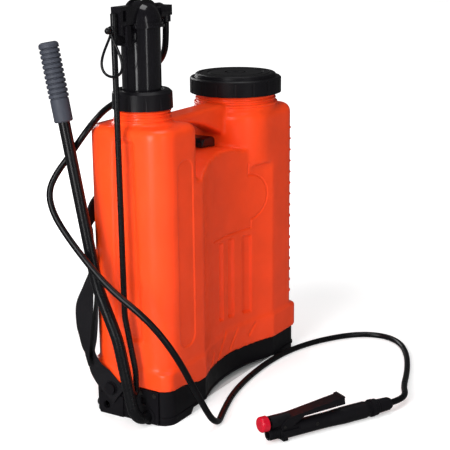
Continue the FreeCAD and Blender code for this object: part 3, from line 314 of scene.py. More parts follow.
def ribbon(path, side, width, thick, sides, power):
    """Rings of a flat strap with soft edges, and their UVs in metres.

    Section: w/2 sgn(cos v) |cos v|^p across and t/2 sgn(sin v) |sin v|^0.75 proud."""
    tangent = unit(np.gradient(path, axis=0))
    across = unit(side - tangent * np.sum(side * tangent, -1, keepdims=True))
    out = np.cross(tangent, across)
    v = np.linspace(0.0, TAU, sides, endpoint=False)
    x = np.sign(np.cos(v)) * np.abs(np.cos(v)) ** power * 0.5
    y = np.sign(np.sin(v)) * np.abs(np.sin(v)) ** 0.75 * 0.5
    w, t = np.reshape(width, (-1, 1, 1)), np.reshape(thick, (-1, 1, 1))
    points = path[:, None] + w * x[None, :, None] * across[:, None] + t * y[None, :, None] * out[:, None]
    run = np.concatenate([[0.0], np.cumsum(np.linalg.norm(np.diff(path, axis=0), axis=1))])
    uv = np.stack(np.broadcast_arrays(w[..., 0] * x[None, :] + 0 * run[:, None], run[:, None]), -1)
    return points, uv


def ends(rows, columns):
    """The two polygons that close a tube."""
    first = list(range(columns))[::-1]
    last = [(rows - 1) * columns + k for k in range(columns)]
    return first, last


def clothe(material, *names):
    """Gives CAD nodes a material."""
    for name in names:
        slots = NODES[name].data.materials
        slots.clear()
        slots.append(material)


# ---- properties ------------------------------------------------------------------
class SprayerSizes(bpy.types.PropertyGroup):
    """Sizes of the pieces that are made here."""
    tank_voxel: bpy.props.FloatProperty(
        name="Tank mesh cell", description="Cell of the tank's rebuilt skin",
        default=0.003, min=0.002, max=0.006, unit="LENGTH")
    groove_depth: bpy.props.FloatProperty(
        name="Panel groove", description="Depth of the line round the front panel",
        default=0.0014, min=0.0, max=0.003, unit="LENGTH")
    flute_depth: bpy.props.FloatProperty(
        name="Flute depth", description="Depth of the three flutes in the front",
        default=0.0060, min=0.0, max=0.01, unit="LENGTH")
    mark_height: bpy.props.FloatProperty(
        name="Level mark", description="How far the level marks stand proud",
        default=0.0016, min=0.0, max=0.004, unit="LENGTH")
    hose_radius: bpy.props.FloatProperty(
        name="Hose radius", description="Outer radius of the hose",
        default=0.005, min=0.003, max=0.008, unit="LENGTH")
    weave_pitch: bpy.props.FloatProperty(
        name="Weave pitch", description="Yarn spacing of the webbing in millimetres",
        default=1.1, min=0.5, max=4.0)


class SprayerColours(bpy.types.PropertyGroup):
    """Colours of the sprayer."""
    tank: bpy.props.FloatVectorProperty(
        name="Tank", description="Blow-moulded polyethylene", subtype="COLOR", default=linear("F24518"))
    black: bpy.props.FloatVectorProperty(
        name="Black parts", description="Moulded polypropylene", subtype="COLOR",
        default=linear("100F12"))
    steel: bpy.props.FloatVectorProperty(
        name="Lever", description="Powder-coated steel tube", subtype="COLOR", default=linear("0C0C0E"))
    grip: bpy.props.FloatVectorProperty(
        name="Grip", description="Soft grip sleeve", subtype="COLOR", default=linear("33363F"))
    hose: bpy.props.FloatVectorProperty(
        name="Hose", description="Plasticised vinyl hose", subtype="COLOR", default=linear("0A0A0C"))
    red: bpy.props.FloatVectorProperty(
        name="Valve cap", description="Glossy moulded cap", subtype="COLOR", default=linear("B00D24"))
    webbing: bpy.props.FloatVectorProperty(
        name="Webbing", description="Woven straps", subtype="COLOR", default=linear("171619"))


# ---- tank ------------------------------------------------------------------------
def merged_copy(name, node, extras=()):
    """A merged copy of a CAD node's mesh with closed cylinders added, as (x, y, z0, z1, r) in metres."""
    shape = bmesh.new()
    shape.from_mesh(NODES[node].data)
    bmesh.ops.remove_doubles(shape, verts=shape.verts, dist=2e-5)
    for x, y, z0, z1, r in extras:
        place = Matrix.Translation((x, y, (z0 + z1) / 2))
        bmesh.ops.create_cone(shape, cap_ends=True, segments=96, radius1=r, radius2=r,
                              depth=z1 - z0, matrix=place)
    mesh = bpy.data.meshes.new(name)
    shape.to_mesh(mesh)
    shape.free()
    piece = bpy.data.objects.new(name, mesh)
    bpy.context.scene.collection.objects.link(piece)
    return piece


def apply_modifiers(piece):
    """Replaces a piece's mesh by what its modifiers make of it."""
    bpy.context.view_layer.update()
    graph = bpy.context.evaluated_depsgraph_get()
    mesh = bpy.data.meshes.new_from_object(piece.evaluated_get(graph))
    piece.modifiers.clear()
    old, piece.data = piece.data, mesh
    bpy.data.meshes.remove(old)


def reskin(piece, cell, rounds):
    """Rebuilds a closed mesh from small cells and relaxes it, so that its edges turn soft."""
    remesh = piece.modifiers.new("skin", "REMESH")
    remesh.mode = "VOXEL"
    remesh.voxel_size = cell
    soften = piece.modifiers.new("soften", "SMOOTH")
    soften.factor, soften.iterations = 0.5, rounds
    apply_modifiers(piece)


def dress(piece, material):
    """Smooth shading and one material for a piece made from a CAD copy."""
    mesh = piece.data
    mesh.polygons.foreach_set("use_smooth", np.full(len(mesh.polygons), True))
    mesh.materials.clear()
    mesh.materials.append(material)


FRONT_Y = -0.02               # the front's relief lies in front of this plane


def read_points(mesh):
    """Vertex positions and normals as arrays."""
    points = np.empty(len(mesh.vertices) * 3, np.float32)
    normals = np.empty(len(mesh.vertices) * 3, np.float32)
    mesh.vertices.foreach_get("co", points)
    mesh.vertex_normals.foreach_get("vector", normals)
    return points.reshape(-1, 3).astype(float), normals.reshape(-1, 3).astype(float)


def to_segments(x, z, path):
    """Distance in the front plane from each point to a chain of straight runs."""
    best = np.full(x.shape, 1e9)
    for (ax, az), (bx, bz) in zip(path[:-1], path[1:]):
        dx, dz = bx - ax, bz - az
        t = np.clip(((x - ax) * dx + (z - az) * dz) / (dx * dx + dz * dz), 0.0, 1.0)
        best = np.minimum(best, np.hypot(x - ax - t * dx, z - az - t * dz))
    return best


BULGE_X, BULGE_Z, BULGE_R = 70.0, 305.0, 38.0     # round bulge of the front panel, millimetres
PANEL_TOP, PANEL_FOOT = 361.0, 252.0


def panel_outline():
    """Line round the front panel, in metres: down, out round a bulge, down, and back to the left."""
    a = np.radians(np.linspace(97.0, -88.0, 24))
    bulge = np.stack([BULGE_X + BULGE_R * np.cos(a), BULGE_Z + BULGE_R * np.sin(a)], -1)
    foot = [(BULGE_X + 1.0, PANEL_FOOT), (-43.0, PANEL_FOOT + 2.0)]
    return MM * np.concatenate([[(BULGE_X - 5.0, PANEL_TOP)], bulge, foot])


# flutes of the front as (left, right, top, foot), millimetres
FLUTES = [(-25.0, -7.0, 247.0, 112.0), (6.0, 27.0, 247.0, 109.0), (48.0, 74.0, 243.0, 105.0)]
FLUTE_CORNER = 5.0
FLUTE_SLANT = 0.12
# long panel of the pump tower as (left, right, foot, top)
TOWER_PANEL = (-169.0, -126.0, 115.0, 410.0)
TOWER_PANEL_CORNER = 18.0
TOWER_PANEL_DEPTH = 1.6
# slanted creases at the foot of the front, each from (x, z) to (x, z)
CREASES = [((-76.0, 42.0), (-52.0, 68.0)), ((-36.0, 49.0), (-4.0, 88.0)),
           ((9.0, 55.0), (32.0, 83.0)), ((64.0, 64.0), (80.0, 80.0))]
CREASE_DEPTH = 1.6


def rounded_box_distance(x, z, x0, x1, z0, z1, r):
    """Signed distance to a rounded rectangle in the front plane, negative inside."""
    qx = np.abs(x - (x0 + x1) / 2) - (x1 - x0) / 2 + r
    qz = np.abs(z - (z0 + z1) / 2) - (z1 - z0) / 2 + r
    return np.hypot(np.maximum(qx, 0), np.maximum(qz, 0)) + np.minimum(np.maximum(qx, qz), 0) - r


def tower_panel_distance(x, z):
    """Signed distance to the edge of the pump tower's long panel."""
    x0, x1, z0, z1 = (MM * v for v in TOWER_PANEL)
    return rounded_box_distance(x, z, x0, x1, z0, z1, TOWER_PANEL_CORNER * MM)


def flute_distance(x, z, flute):
    """Signed distance to the edge of one flute."""
    x0, x1, top, foot = (MM * v for v in flute)
    return rounded_box_distance(x, z, x0, x1, foot, top, FLUTE_CORNER * MM)


def front_relief(points, normals, sizes):
    """How far the front sinks: panel line, flutes, the tower's long panel and the foot's creases.

    Each sinks by its depth times a smooth step of the distance to its edge."""
    x, y, z = points.T
    facing = ease(0.2, 0.6, -normals[:, 1]) * (y < FRONT_Y)
    line = to_segments(x, z, panel_outline())
    sink = sizes.groove_depth * (1.0 - ease(0.0004, 0.0024, line))
    for flute in FLUTES:
        x0, x1 = MM * flute[0], MM * flute[1]
        d = flute_distance(x, z + FLUTE_SLANT * (x - x0), flute)
        hollow = 1.0 - 0.35 * np.clip(np.abs(x - (x0 + x1) / 2) / ((x1 - x0) / 2), 0, 1)
        sink += sizes.flute_depth * hollow * (1.0 - ease(-0.0038, 0.0004, d))
    sink += TOWER_PANEL_DEPTH * MM * (1.0 - ease(-0.0022, 0.0008, tower_panel_distance(x, z)))
    for crease in CREASES:
        line = to_segments(x, z, MM * np.array(crease))
        sink += CREASE_DEPTH * MM * (1.0 - ease(0.0004, 0.0045, line))
    return sink * facing


def detail_distance(x, y, z):
    """Distance to the nearest edge of the front's relief, for the finer mesh."""
    best = to_segments(x, z, panel_outline())
    for flute in FLUTES:
        best = np.minimum(best, np.abs(flute_distance(x, z, flute) + 0.002))
    best = np.minimum(best, np.abs(tower_panel_distance(x, z)))
    for crease in CREASES:
        best = np.minimum(best, to_segments(x, z, MM * np.array(crease)))
    return np.where(y < FRONT_Y, best, 1.0)


def refine(mesh, reach):
    """Splits the faces nearer than reach to the front's relief into four."""
    shape = bmesh.new()
    shape.from_mesh(mesh)
    shape.faces.ensure_lookup_table()
    centres = np.array([f.calc_center_median()[:] for f in shape.faces])
    near = detail_distance(*centres.T) < reach
    edges = {e for k in np.flatnonzero(near) for e in shape.faces[int(k)].edges}
    in_order = sorted(edges, key=lambda e: e.index)
    bmesh.ops.subdivide_edges(shape, edges=in_order, cuts=1, use_grid_fill=True)
    shape.to_mesh(mesh)
    shape.free()


# closed cylinders in the necks as (x, y, foot, top, radius), metres
NECK_PLUGS = [(PUMP_X, 0.0, 0.440, 0.4995, 0.0385), (FILL_X, 0.0, 0.430, 0.4935, 0.0640)]
REFINE_REACHES = (0.0052, 0.0026)                 # the skin is split finer within these distances


def build_tank(sizes, colours):
    """The tank's skin, rebuilt from its CAD form with soft moulded edges and the front's relief.

    The necks are plugged first, so that the copy is a closed form."""
    low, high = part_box("tank_shell")
    tank = merged_copy("tank_skin", "tank_shell", NECK_PLUGS)
    reskin(tank, cell=sizes.tank_voxel, rounds=5)
    for reach in REFINE_REACHES:
        refine(tank.data, reach)
    points, normals = read_points(tank.data)
    points -= normals * front_relief(points, normals, sizes)[:, None]
    points = np.clip(points, np.array(low), np.array(high))
    tank.data.vertices.foreach_set("co", points.astype(np.float32).ravel())
    dress(tank, tank_plastic(colours))
    tank.data.update()
    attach(tank, "tank")
    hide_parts("tank_shell")


# beads round the necks as (axis x, ring radius, height, bead radius), metres
NECK_BEADS = [(PUMP_X, 0.0425, 0.4675, 0.0020), (PUMP_X, 0.0418, 0.4745, 0.0013),
              (PUMP_X, 0.0418, 0.4795, 0.0013), (FILL_X, 0.0685, 0.4555, 0.0024),
              (FILL_X, 0.0668, 0.4630, 0.0015), (FILL_X, 0.0668, 0.4690, 0.0015)]
RING_STEPS, BEAD_SIDES = 120, 10


def build_neck_ridges(skin):
    """Rounded beads and thread starts round both necks: circles swept by a small round section."""
    turn = np.linspace(0.0, TAU, RING_STEPS)
    grids = []
    for x, r, z, thick in NECK_BEADS:
        circle = np.stack([x + r * np.cos(turn), r * np.sin(turn), np.full_like(turn, z)], -1)
        grids.append(round_tube(circle, thick, BEAD_SIDES))
    faces = grid_faces(RING_STEPS, BEAD_SIDES, True)
    every = np.concatenate([faces + k * RING_STEPS * BEAD_SIDES for k in range(len(grids))])
    beads = new_piece("neck_beads", np.concatenate(grids), every, skin, "tank", recalc=True)


MARK_COUNT = 16               # one mark to a litre
MARK_FOOT, MARK_PITCH = 111.6, 19.6               # lowest mark and spacing, millimetres
MARK_AXIS = (0.171, -0.039)   # axis of the tank's front corner on the filler side
MARK_RADIUS = 0.0335          # just inside the corner's skin
MARK_HALF_HEIGHT = 0.0016


def build_level_marks(sizes, skin):
    """Moulded litre marks round a front corner: arc bars, half round in section, every fifth longer."""
    rows, columns = 22, 10
    u, v = np.meshgrid(np.linspace(0, 1, rows), np.linspace(0, 1, columns), indexing="ij")
    swell = np.sqrt(np.clip(1 - (2 * u - 1) ** 8, 0, 1)) * np.sin(np.pi * v)
    radius = MARK_RADIUS + (sizes.mark_height + 0.0005) * swell
    points, faces = [], []
    for k in range(MARK_COUNT):
        start, stop = (-82.0, -24.0) if k % 5 == 0 else (-74.0, -36.0)
        angle = np.radians(start + (stop - start) * u)
        z = MM * (MARK_FOOT + MARK_PITCH * k) + MARK_HALF_HEIGHT * (2 * v - 1)
        x, y = MARK_AXIS[0] + radius * np.cos(angle), MARK_AXIS[1] + radius * np.sin(angle)
        points.append(np.stack([x, y, z], -1))
        faces.append(grid_faces(rows, columns, False) + k * rows * columns)
    marks = new_piece("level_marks", np.concatenate(points), np.concatenate(faces), skin, "tank")


# ---- hose ------------------------------------------------------------------------
# control points of the hose's line in metres, from the elbow on the pump head to the spray handle
HOSE_ROUTE = [
    (-0.084, 0.0, 0.60495), (-0.084, 0.0, 0.580), (-0.077, 0.009, 0.553), (-0.064, 0.038, 0.530),
    (-0.074, 0.062, 0.502), (-0.110, 0.074, 0.482), (-0.158, 0.063, 0.477), (-0.197, 0.052, 0.469),
    (-0.222, 0.061, 0.443), (-0.225, 0.084, 0.413), (-0.240, 0.097, 0.389), (-0.253, 0.103, 0.364),
    (-0.258, 0.094, 0.336), (-0.260, 0.071, 0.306), (-0.263, 0.026, 0.264), (-0.264, -0.016, 0.230),
    (-0.257, -0.077, 0.192), (-0.241, -0.113, 0.140), (-0.208, -0.125, 0.072), (-0.176, -0.140, 0.0055),
    (-0.108, -0.113, 0.0055), (-0.044, -0.092, 0.0055), (0.030, -0.080, 0.0055), (0.102, -0.076, 0.0055),
    (0.172, -0.082, 0.0055), (0.244, -0.108, 0.0055), (0.304, -0.152, 0.0055), (0.319, -0.200, 0.0055),
    (0.298, -0.240, 0.0055), (0.251, -0.271, 0.0055), (0.207, -0.291, 0.0055), (0.165, -0.307, 0.006),
    (0.105, -0.327, 0.0105), (0.068, -0.3465, 0.0132), (0.037, -0.3448, 0.0142),
    (0.01488, -0.33266, 0.0142)]
HOSE_SIDES = 20
POINTS_PER_RUN = 14


def route_points(route, count_per_run):
    """Points read from a NURBS spline that has the route as its control points."""
    curve = bpy.data.curves.new("route", "CURVE")
    curve.dimensions = "3D"
    spline = curve.splines.new("NURBS")
    spline.points.add(len(route) - 1)
    spline.points.foreach_set("co", np.array([(*p, 1.0) for p in route], np.float32).ravel())
    spline.order_u = 3
    spline.use_endpoint_u = True
    curve.resolution_u = count_per_run
    holder = bpy.data.objects.new("route", curve)
    bpy.context.scene.collection.objects.link(holder)
    bpy.context.view_layer.update()
    mesh = bpy.data.meshes.new_from_object(holder.evaluated_get(bpy.context.evaluated_depsgraph_get()))
    points = np.empty(len(mesh.vertices) * 3, np.float32)
    mesh.vertices.foreach_get("co", points)
    bpy.data.objects.remove(holder)
    bpy.data.meshes.remove(mesh)
    return points.reshape(-1, 3).astype(float)


def build_hose(sizes, colours):
    """The hose as a round tube along its route, bending between the pump head and the tank."""
    path = route_points(HOSE_ROUTE, POINTS_PER_RUN)
    rings = round_tube(path, sizes.hose_radius, HOSE_SIDES)
    run = np.concatenate([[0.0], np.cumsum(np.linalg.norm(np.diff(path, axis=0), axis=1))])
    uv = np.stack(np.broadcast_arrays(np.linspace(0, 1, HOSE_SIDES)[None, :], run[:, None]), -1)
    # plasticised vinyl, extruded: satin black with a soft lengthwise sheen
    vinyl = moulded("extruded_vinyl", colours.hose, roughness=0.30, spread=0.05,
                    peel_mm=2.0, peel_height=0.02, gleam=0.3)
    faces = grid_faces(len(path), HOSE_SIDES, True)
    hose = new_piece("hose_tube", rings, faces, vinyl, None, ends(len(path), HOSE_SIDES), uv, recalc=True)
    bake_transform(hose)
    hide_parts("hose")


# ---- straps ----------------------------------------------------------------------
HALF_W = 205.0                # half the tank's width, millimetres
CORNER_X, CORNER_Y = 171.0, 39.0                  # axis of the tank's upright back corner
BAR_REACH, BAR_Z = 41.0, 252.0                    # buckle bar: distance from that axis, and height
BEND = 2.85                   # the webbing's middle goes round the bar at this radius
PAD_TOP = 404.6
STUD_X = {-1: -20.0, 1: 18.0}                     # screws that hold the pads' upper ends
FOOT_DROP = {-1: 0.0, 1: 18.0}                    # the filler side's bolt sits lower
STRAP_ROWS = 260
TAIL_W, TAIL_T = 37.5, 1.8
PAD_W, PAD_T, PAD_END_T = 35.5, 4.6, 1.6          # the pad is thinner at its ends


def off_corner(reach, z):
    """Point outside the tank's back corner, on the diagonal, in millimetres."""
    return CORNER_X + reach * math.sqrt(0.5), CORNER_Y + reach * math.sqrt(0.5), z


def strap_curve(stations, side, drop, count):
    """Centre line and width direction, in metres, through stations of (point, direction)."""
    points = np.array([p for p, _ in stations]) * (side, 1, 1)
    points[:, 2] -= drop * np.clip((140.0 - points[:, 2]) / 90.0, 0, 1)
    turns = np.array([t for _, t in stations], float) * (-side, 1, 1)
    return MM * through(points, count), through(unit(turns), count)


def tail_stations():
    """Webbing: bolt, round the tank's corner, up, over the buckle's bar and back down in a loose loop."""
    out_x = HALF_W + 4.5
    diagonal = (1, 1, 0)
    return [((out_x, 17, 36), (0, 0.62, -0.78)), ((out_x, 31, 47), (0, 0.62, -0.78)),
            ((out_x + 0.6, 46, 61), (0, 0.66, -0.75)), ((out_x + 2.5, 60, 78), (0.25, 0.75, -0.6)),
            ((HALF_W + 3, 70, 100), (0.5, 0.8, -0.3)), ((HALF_W - 0.5, 67, 126), (0.6, 0.8, -0.05)),
            ((HALF_W - 5, 65.5, 155), (0.66, 0.75, 0)), (off_corner(36.5, 190), diagonal),
            (off_corner(36.5, 228), diagonal), (off_corner(BAR_REACH - BEND, BAR_Z), diagonal),
            (off_corner(BAR_REACH, BAR_Z + BEND * 1.1), diagonal),
            (off_corner(BAR_REACH + BEND, BAR_Z), diagonal),
            (off_corner(43, 228), diagonal), ((HALF_W + 1, 73, 200), (0.45, 0.9, 0)),
            ((HALF_W + 5.5, 78, 171), (0.12, 1, 0)), ((HALF_W + 6, 81, 139), (0.25, 0.97, 0)),
            ((HALF_W + 5.5, 80, 118), (0.42, 0.9, 0)), ((HALF_W + 8, 76, 97), (0.62, 0.78, 0)),
            ((HALF_W + 6, 76.5, 84), (0.7, 0.71, 0))]


def pad_stations(side):
    """Shoulder pad: from the block on the saddle over the wearer's side down to the buckle."""
    x_end = side * STUD_X[side]
    return [((x_end, 24, PAD_TOP), (-1, 0, 0)), ((x_end + 2, 62, PAD_TOP + 1), (-1, 0, 0)),
            ((x_end + 10, 84, 396), (-1, 0, -0.1)), ((66, 93, 358), (-0.9, 0, -0.5)),
            ((HALF_W - 90, 95, 334), (-0.75, 0, -0.65)), ((HALF_W - 46, 92, 317), (-0.7, 0.1, -0.6)),
            ((HALF_W - 20, 83, 303), (-0.8, 0.5, -0.3)), (off_corner(BAR_REACH, BAR_Z + 40), (-1, 1, 0)),
            (off_corner(BAR_REACH, BAR_Z + 19.4), (-1, 1, 0))]


def strap_piece(name, stands_for, weave, line, size, sides, power):
    """One strap along a line of (path, width directions), and its length as laid."""
    rings, uv = ribbon(*line, *size, sides, power)
    rows = len(rings)
    piece = new_piece(name, rings, grid_faces(rows, sides, True), weave, "tank", ends(rows, sides), uv,
                      recalc=True)
    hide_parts(stands_for)
    return piece, float(uv[-1, 0, 1])


def build_straps(sizes, colours):
    """Padded shoulder straps and their webbing tails, woven, on both sides."""
    weave = woven_webbing(colours.webbing, sizes.weave_pitch)
    s = np.linspace(0, 1, STRAP_ROWS)
    fullness = ease(0.02, 0.08, s) * (1 - ease(0.94, 0.99, s))
    pad_thick = MM * (PAD_END_T + (PAD_T - PAD_END_T) * fullness)
    for name, side in (("left", -1), ("right", 1)):
        line = strap_curve(tail_stations(), side, FOOT_DROP[side], STRAP_ROWS)
        tail, length = strap_piece(f"webbing_{name}", f"strap_tail_{name}", weave, line,
                                   (MM * TAIL_W, MM * TAIL_T), sides=28, power=0.35)
        stations = [(p, (-t[0], t[1], t[2])) for p, t in pad_stations(side)]
        line = strap_curve(stations, side, 0.0, STRAP_ROWS)
        pad, _ = strap_piece(f"shoulder_pad_{name}", f"shoulder_strap_{name}", weave, line,
                             (MM * PAD_W, pad_thick), sides=40, power=0.22)


# ---- small mouldings -------------------------------------------------------------
LOOP_AT = (-0.2290, -0.005, 0.604)                # middle of the wire's eye on the link pin
LOOP_WIRE_R = 0.0020
LOOP_SPREAD = 0.0266          # sets the drop's width
LOOP_DROP = 0.062             # height of the drop
EYE_R = 0.0044
LOOP_SIDES = 14


def build_loop(material):
    """Wire loop that catches the folded lever: a teardrop hung from an eye on the link pin.

    Drop: y = w sin a sin(a/2)^1.7, z = -h (1 - cos a) / 2 for a from 0 to a full turn."""
    at_x, y, z = LOOP_AT
    a = np.linspace(0.0, TAU, RING_STEPS)
    x = np.full_like(a, at_x)
    bow = LOOP_SPREAD * np.sin(a) * np.abs(np.sin(a / 2)) ** 1.7
    drop = np.stack([x, y + bow, z - 0.0035 - LOOP_DROP / 2 * (1 - np.cos(a))], -1)
    eye = np.stack([x, y + EYE_R * np.sin(a), z + EYE_R * np.cos(a)], -1)
    grids = [round_tube(path, LOOP_WIRE_R, LOOP_SIDES) for path in (drop, eye)]
    faces = grid_faces(RING_STEPS, LOOP_SIDES, True)
    both = np.concatenate([faces, faces + RING_STEPS * LOOP_SIDES])
    wire = new_piece("lever_catch_wire", np.concatenate(grids), both, material, "retaining_loop",
                     recalc=True)
    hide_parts("retaining_loop")


def build_spring():
    """The trigger's return spring: a copy of its CAD coil as modelled, riding on the tank."""
    coil = merged_copy("return_spring", "trigger_spring")
    dress(coil, zinc_plated_steel())
    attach(coil, "tank")
    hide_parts("trigger_spring")
    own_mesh(coil)


def build_anchor(material):
    """The strap block on the saddle, rebuilt from its CAD form with melted, rounded edges."""
    block = merged_copy("strap_block", "strap_anchor")
    reskin(block, cell=0.0012, rounds=14)
    dress(block, material)
    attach(block, "tank")
    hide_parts("strap_anchor")


# ---- operators -------------------------------------------------------------------
class SPRAYER_OT_stage(bpy.types.Operator):
    """Sets up the camera, the lamps, the floor and the white surround"""
    bl_idname = "sprayer.stage"
    bl_label = "Stage"

    def execute(self, context):
        scene = context.scene
        scene.view_settings.view_transform = "Standard"
        build_camera(scene)
        build_lamps(scene)
        build_surround(scene)
        build_floor()
        return {"FINISHED"}


class SPRAYER_OT_tank(bpy.types.Operator):
    """Makes the tank's skin with the relief of its front"""
    bl_idname = "sprayer.tank"
    bl_label = "Tank"

    def execute(self, context):
        build_tank(context.scene.sprayer_sizes, context.scene.sprayer_colours)
        return {"FINISHED"}


class SPRAYER_OT_mouldings(bpy.types.Operator):
    """Makes the tank's level marks and the beads round its necks"""
    bl_idname = "sprayer.mouldings"
    bl_label = "Level Marks and Neck Beads"

    def execute(self, context):
        skin = tank_plastic(context.scene.sprayer_colours)
        build_level_marks(context.scene.sprayer_sizes, skin)
        build_neck_ridges(skin)
        return {"FINISHED"}


class SPRAYER_OT_hose(bpy.types.Operator):
    """Makes the hose"""
    bl_idname = "sprayer.hose"
    bl_label = "Hose"

    def execute(self, context):
        build_hose(context.scene.sprayer_sizes, context.scene.sprayer_colours)
        return {"FINISHED"}


class SPRAYER_OT_straps(bpy.types.Operator):
    """Makes the shoulder straps and their webbing"""
    bl_idname = "sprayer.straps"
    bl_label = "Straps"

    def execute(self, context):
        build_straps(context.scene.sprayer_sizes, context.scene.sprayer_colours)
        return {"FINISHED"}


class SPRAYER_OT_anchor(bpy.types.Operator):
    """Makes the block that holds the straps' upper ends"""
    bl_idname = "sprayer.anchor"
    bl_label = "Strap Block"

    def execute(self, context):
        build_anchor(polished_plastic(context.scene.sprayer_colours))
        return {"FINISHED"}


class SPRAYER_OT_catch(bpy.types.Operator):
    """Makes the wire loop that catches the folded lever"""
    bl_idname = "sprayer.catch"
    bl_label = "Lever Catch"

    def execute(self, context):
        build_loop(powder_coat(context.scene.sprayer_colours))
        return {"FINISHED"}


class SPRAYER_OT_spring(bpy.types.Operator):
    """Makes the trigger's return spring"""
    bl_idname = "sprayer.spring"
    bl_label = "Return Spring"

    def execute(self, context):
        build_spring()
        return {"FINISHED"}


class SPRAYER_OT_plastics(bpy.types.Operator):
    """Gives the moulded parts and the seals their finishes"""
    bl_idname = "sprayer.plastics"
    bl_label = "Plastic and Rubber Parts"

    def execute(self, context):
        colours = context.scene.sprayer_colours
        clothe(grained_plastic(colours), "base_skirt", "lever_bearing_plate", "lever_bush_outer",
               "lever_bush_inner", "filler_cap", "cap_vent_valve", "pump_collar", "rod_clip",
               "strap_buckle_left", "strap_buckle_right", "strap_bolts", "outlet_socket", "valve_body",
               "trigger", "handle_body", "hose_nut", "hose_tail")
        clothe(polished_plastic(colours), "air_chamber", "chamber_head", "elbow_nut", "hose_elbow")
        # soft vinyl sleeve: matt and slightly dusty
        sleeve = moulded("soft_vinyl_sleeve", colours.grip, roughness=0.62, spread=0.08,
                         peel_mm=0.6, peel_height=0.04)
        clothe(sleeve, "lever_grip")
        # acrylonitrile butadiene styrene from a polished tool: a clean gloss
        glossy = moulded("glossy_moulded_cap", colours.red, roughness=0.22, spread=0.04,
                         peel_mm=2.0, peel_height=0.01)
        clothe(glossy, "plunger_cap")
        # undyed polypropylene: milky and waxy
        milky = moulded("undyed_polypropylene", linear("E6E4DC"), roughness=0.42, spread=0.05,
                        peel_mm=1.0, peel_height=0.02)
        clothe(milky, "filler_strainer", "pump_cylinder", "inlet_valve_seat", "inlet_screen", "piston",
               "riser_tube", "handle_filter")
        # nitrile rubber: dull and dense
        rubber = moulded("nitrile_rubber", linear("1D1D1E"), roughness=0.72, spread=0.06,
                         peel_mm=0.7, peel_height=0.02)
        clothe(rubber, "cap_gasket", "collar_gasket", "piston_cup_seal", "plunger_seal")
        return {"FINISHED"}


class SPRAYER_OT_steel(bpy.types.Operator):
    """Gives the steel parts their finishes"""
    bl_idname = "sprayer.steel"
    bl_label = "Steel Parts"

    def execute(self, context):
        clothe(powder_coat(context.scene.sprayer_colours), "lever_tube", "link_rod", "link_pin")
        clothe(zinc_plated_steel(), "base_screws", "shaft_cotter", "inlet_valve_ball",
               "delivery_valve_ball", "valve_plunger", "anchor_screws")
        # black oxide on steel: dark, a little brown and softly reflective
        blackened = moulded("blackened_steel", linear("1A1918"), roughness=0.38, spread=0.06,
                            peel_mm=0.9, peel_height=0.01)
        clothe(blackened, "bearing_plate_screws", "trigger_pin", "handle_screw")
        return {"FINISHED"}


class SPRAYER_PT_panel(bpy.types.Panel):
    """Lists the sprayer's pieces"""
    bl_label = "Knapsack Sprayer"
    bl_idname = "SPRAYER_PT_panel"
    bl_space_type = "VIEW_3D"
    bl_region_type = "UI"
    bl_category = "Sprayer"

    def draw(self, context):
        for group in (context.scene.sprayer_sizes, context.scene.sprayer_colours):
            for name in group.__annotations__:
                self.layout.prop(group, name)
        for operator in STEPS:
            self.layout.operator(operator.bl_idname)


# ---- stage -----------------------------------------------------------------------
CAMERA_AZIMUTH = math.radians(-58.386)
CAMERA_RISE = math.radians(15.080)
CAMERA_DISTANCE = 1.99243
CAMERA_AIM = Vector((0.08212, 0.0, 0.24629))
CAMERA_LENS = 93.03
CAMERA_ROLL = math.radians(-0.52)
SURROUND_GLOW = 0.17          # what the white surround gives to diffuse light
SURROUND_GLOSS = 0.06         # and to reflections
FLOOR_GLOSS = 0.12            # how bright the floor looks in reflections
FLOOR_REACH = 8.0             # metres from the middle to each edge
GLOW_NEAR, GLOW_FAR = 0.45, 1.05                  # the floor's glow rises between these distances
GLOW_LOW = 0.36               # its level near the sprayer
# painted shadow: the floor's glow is cut out under the base, so the floor there stays dark
PAINTED_SHADOW_UNDER_BASE = (0.19, 0.06)     # no glow inside this half width and half depth
WHITE = (1.0, 1.0, 1.0, 1.0)


def build_camera(scene):
    """The camera looks down a little on the pump side's front corner."""
    out = Vector((math.sin(CAMERA_AZIMUTH) * math.cos(CAMERA_RISE),
                  -math.cos(CAMERA_AZIMUTH) * math.cos(CAMERA_RISE), math.sin(CAMERA_RISE)))
    data = bpy.data.cameras.new("camera")
    data.lens, data.sensor_width, data.clip_end = CAMERA_LENS, 36.0, 30.0
    camera = bpy.data.objects.new("camera", data)
    camera.location = CAMERA_AIM + out * CAMERA_DISTANCE
    aim = (-out).to_track_quat("-Z", "Y").to_matrix() @ Matrix.Rotation(CAMERA_ROLL, 3, "Z")
    camera.rotation_euler = aim.to_euler()
    scene.collection.objects.link(camera)
    scene.camera = camera


def soft_lamp(scene, name, place, aim, size, watts, mirrored=True):
    """A rectangular area lamp aimed at a point; one that isn't mirrored leaves no highlight."""
    data = bpy.data.lights.new(name, "AREA")
    data.shape, data.size, data.size_y = "RECTANGLE", *size
    data.energy = watts
    lamp = bpy.data.objects.new(name, data)
    lamp.location = place
    lamp.rotation_euler = (Vector(aim) - Vector(place)).to_track_quat("-Z", "Y").to_euler()
    lamp.visible_glossy = mirrored
    scene.collection.objects.link(lamp)


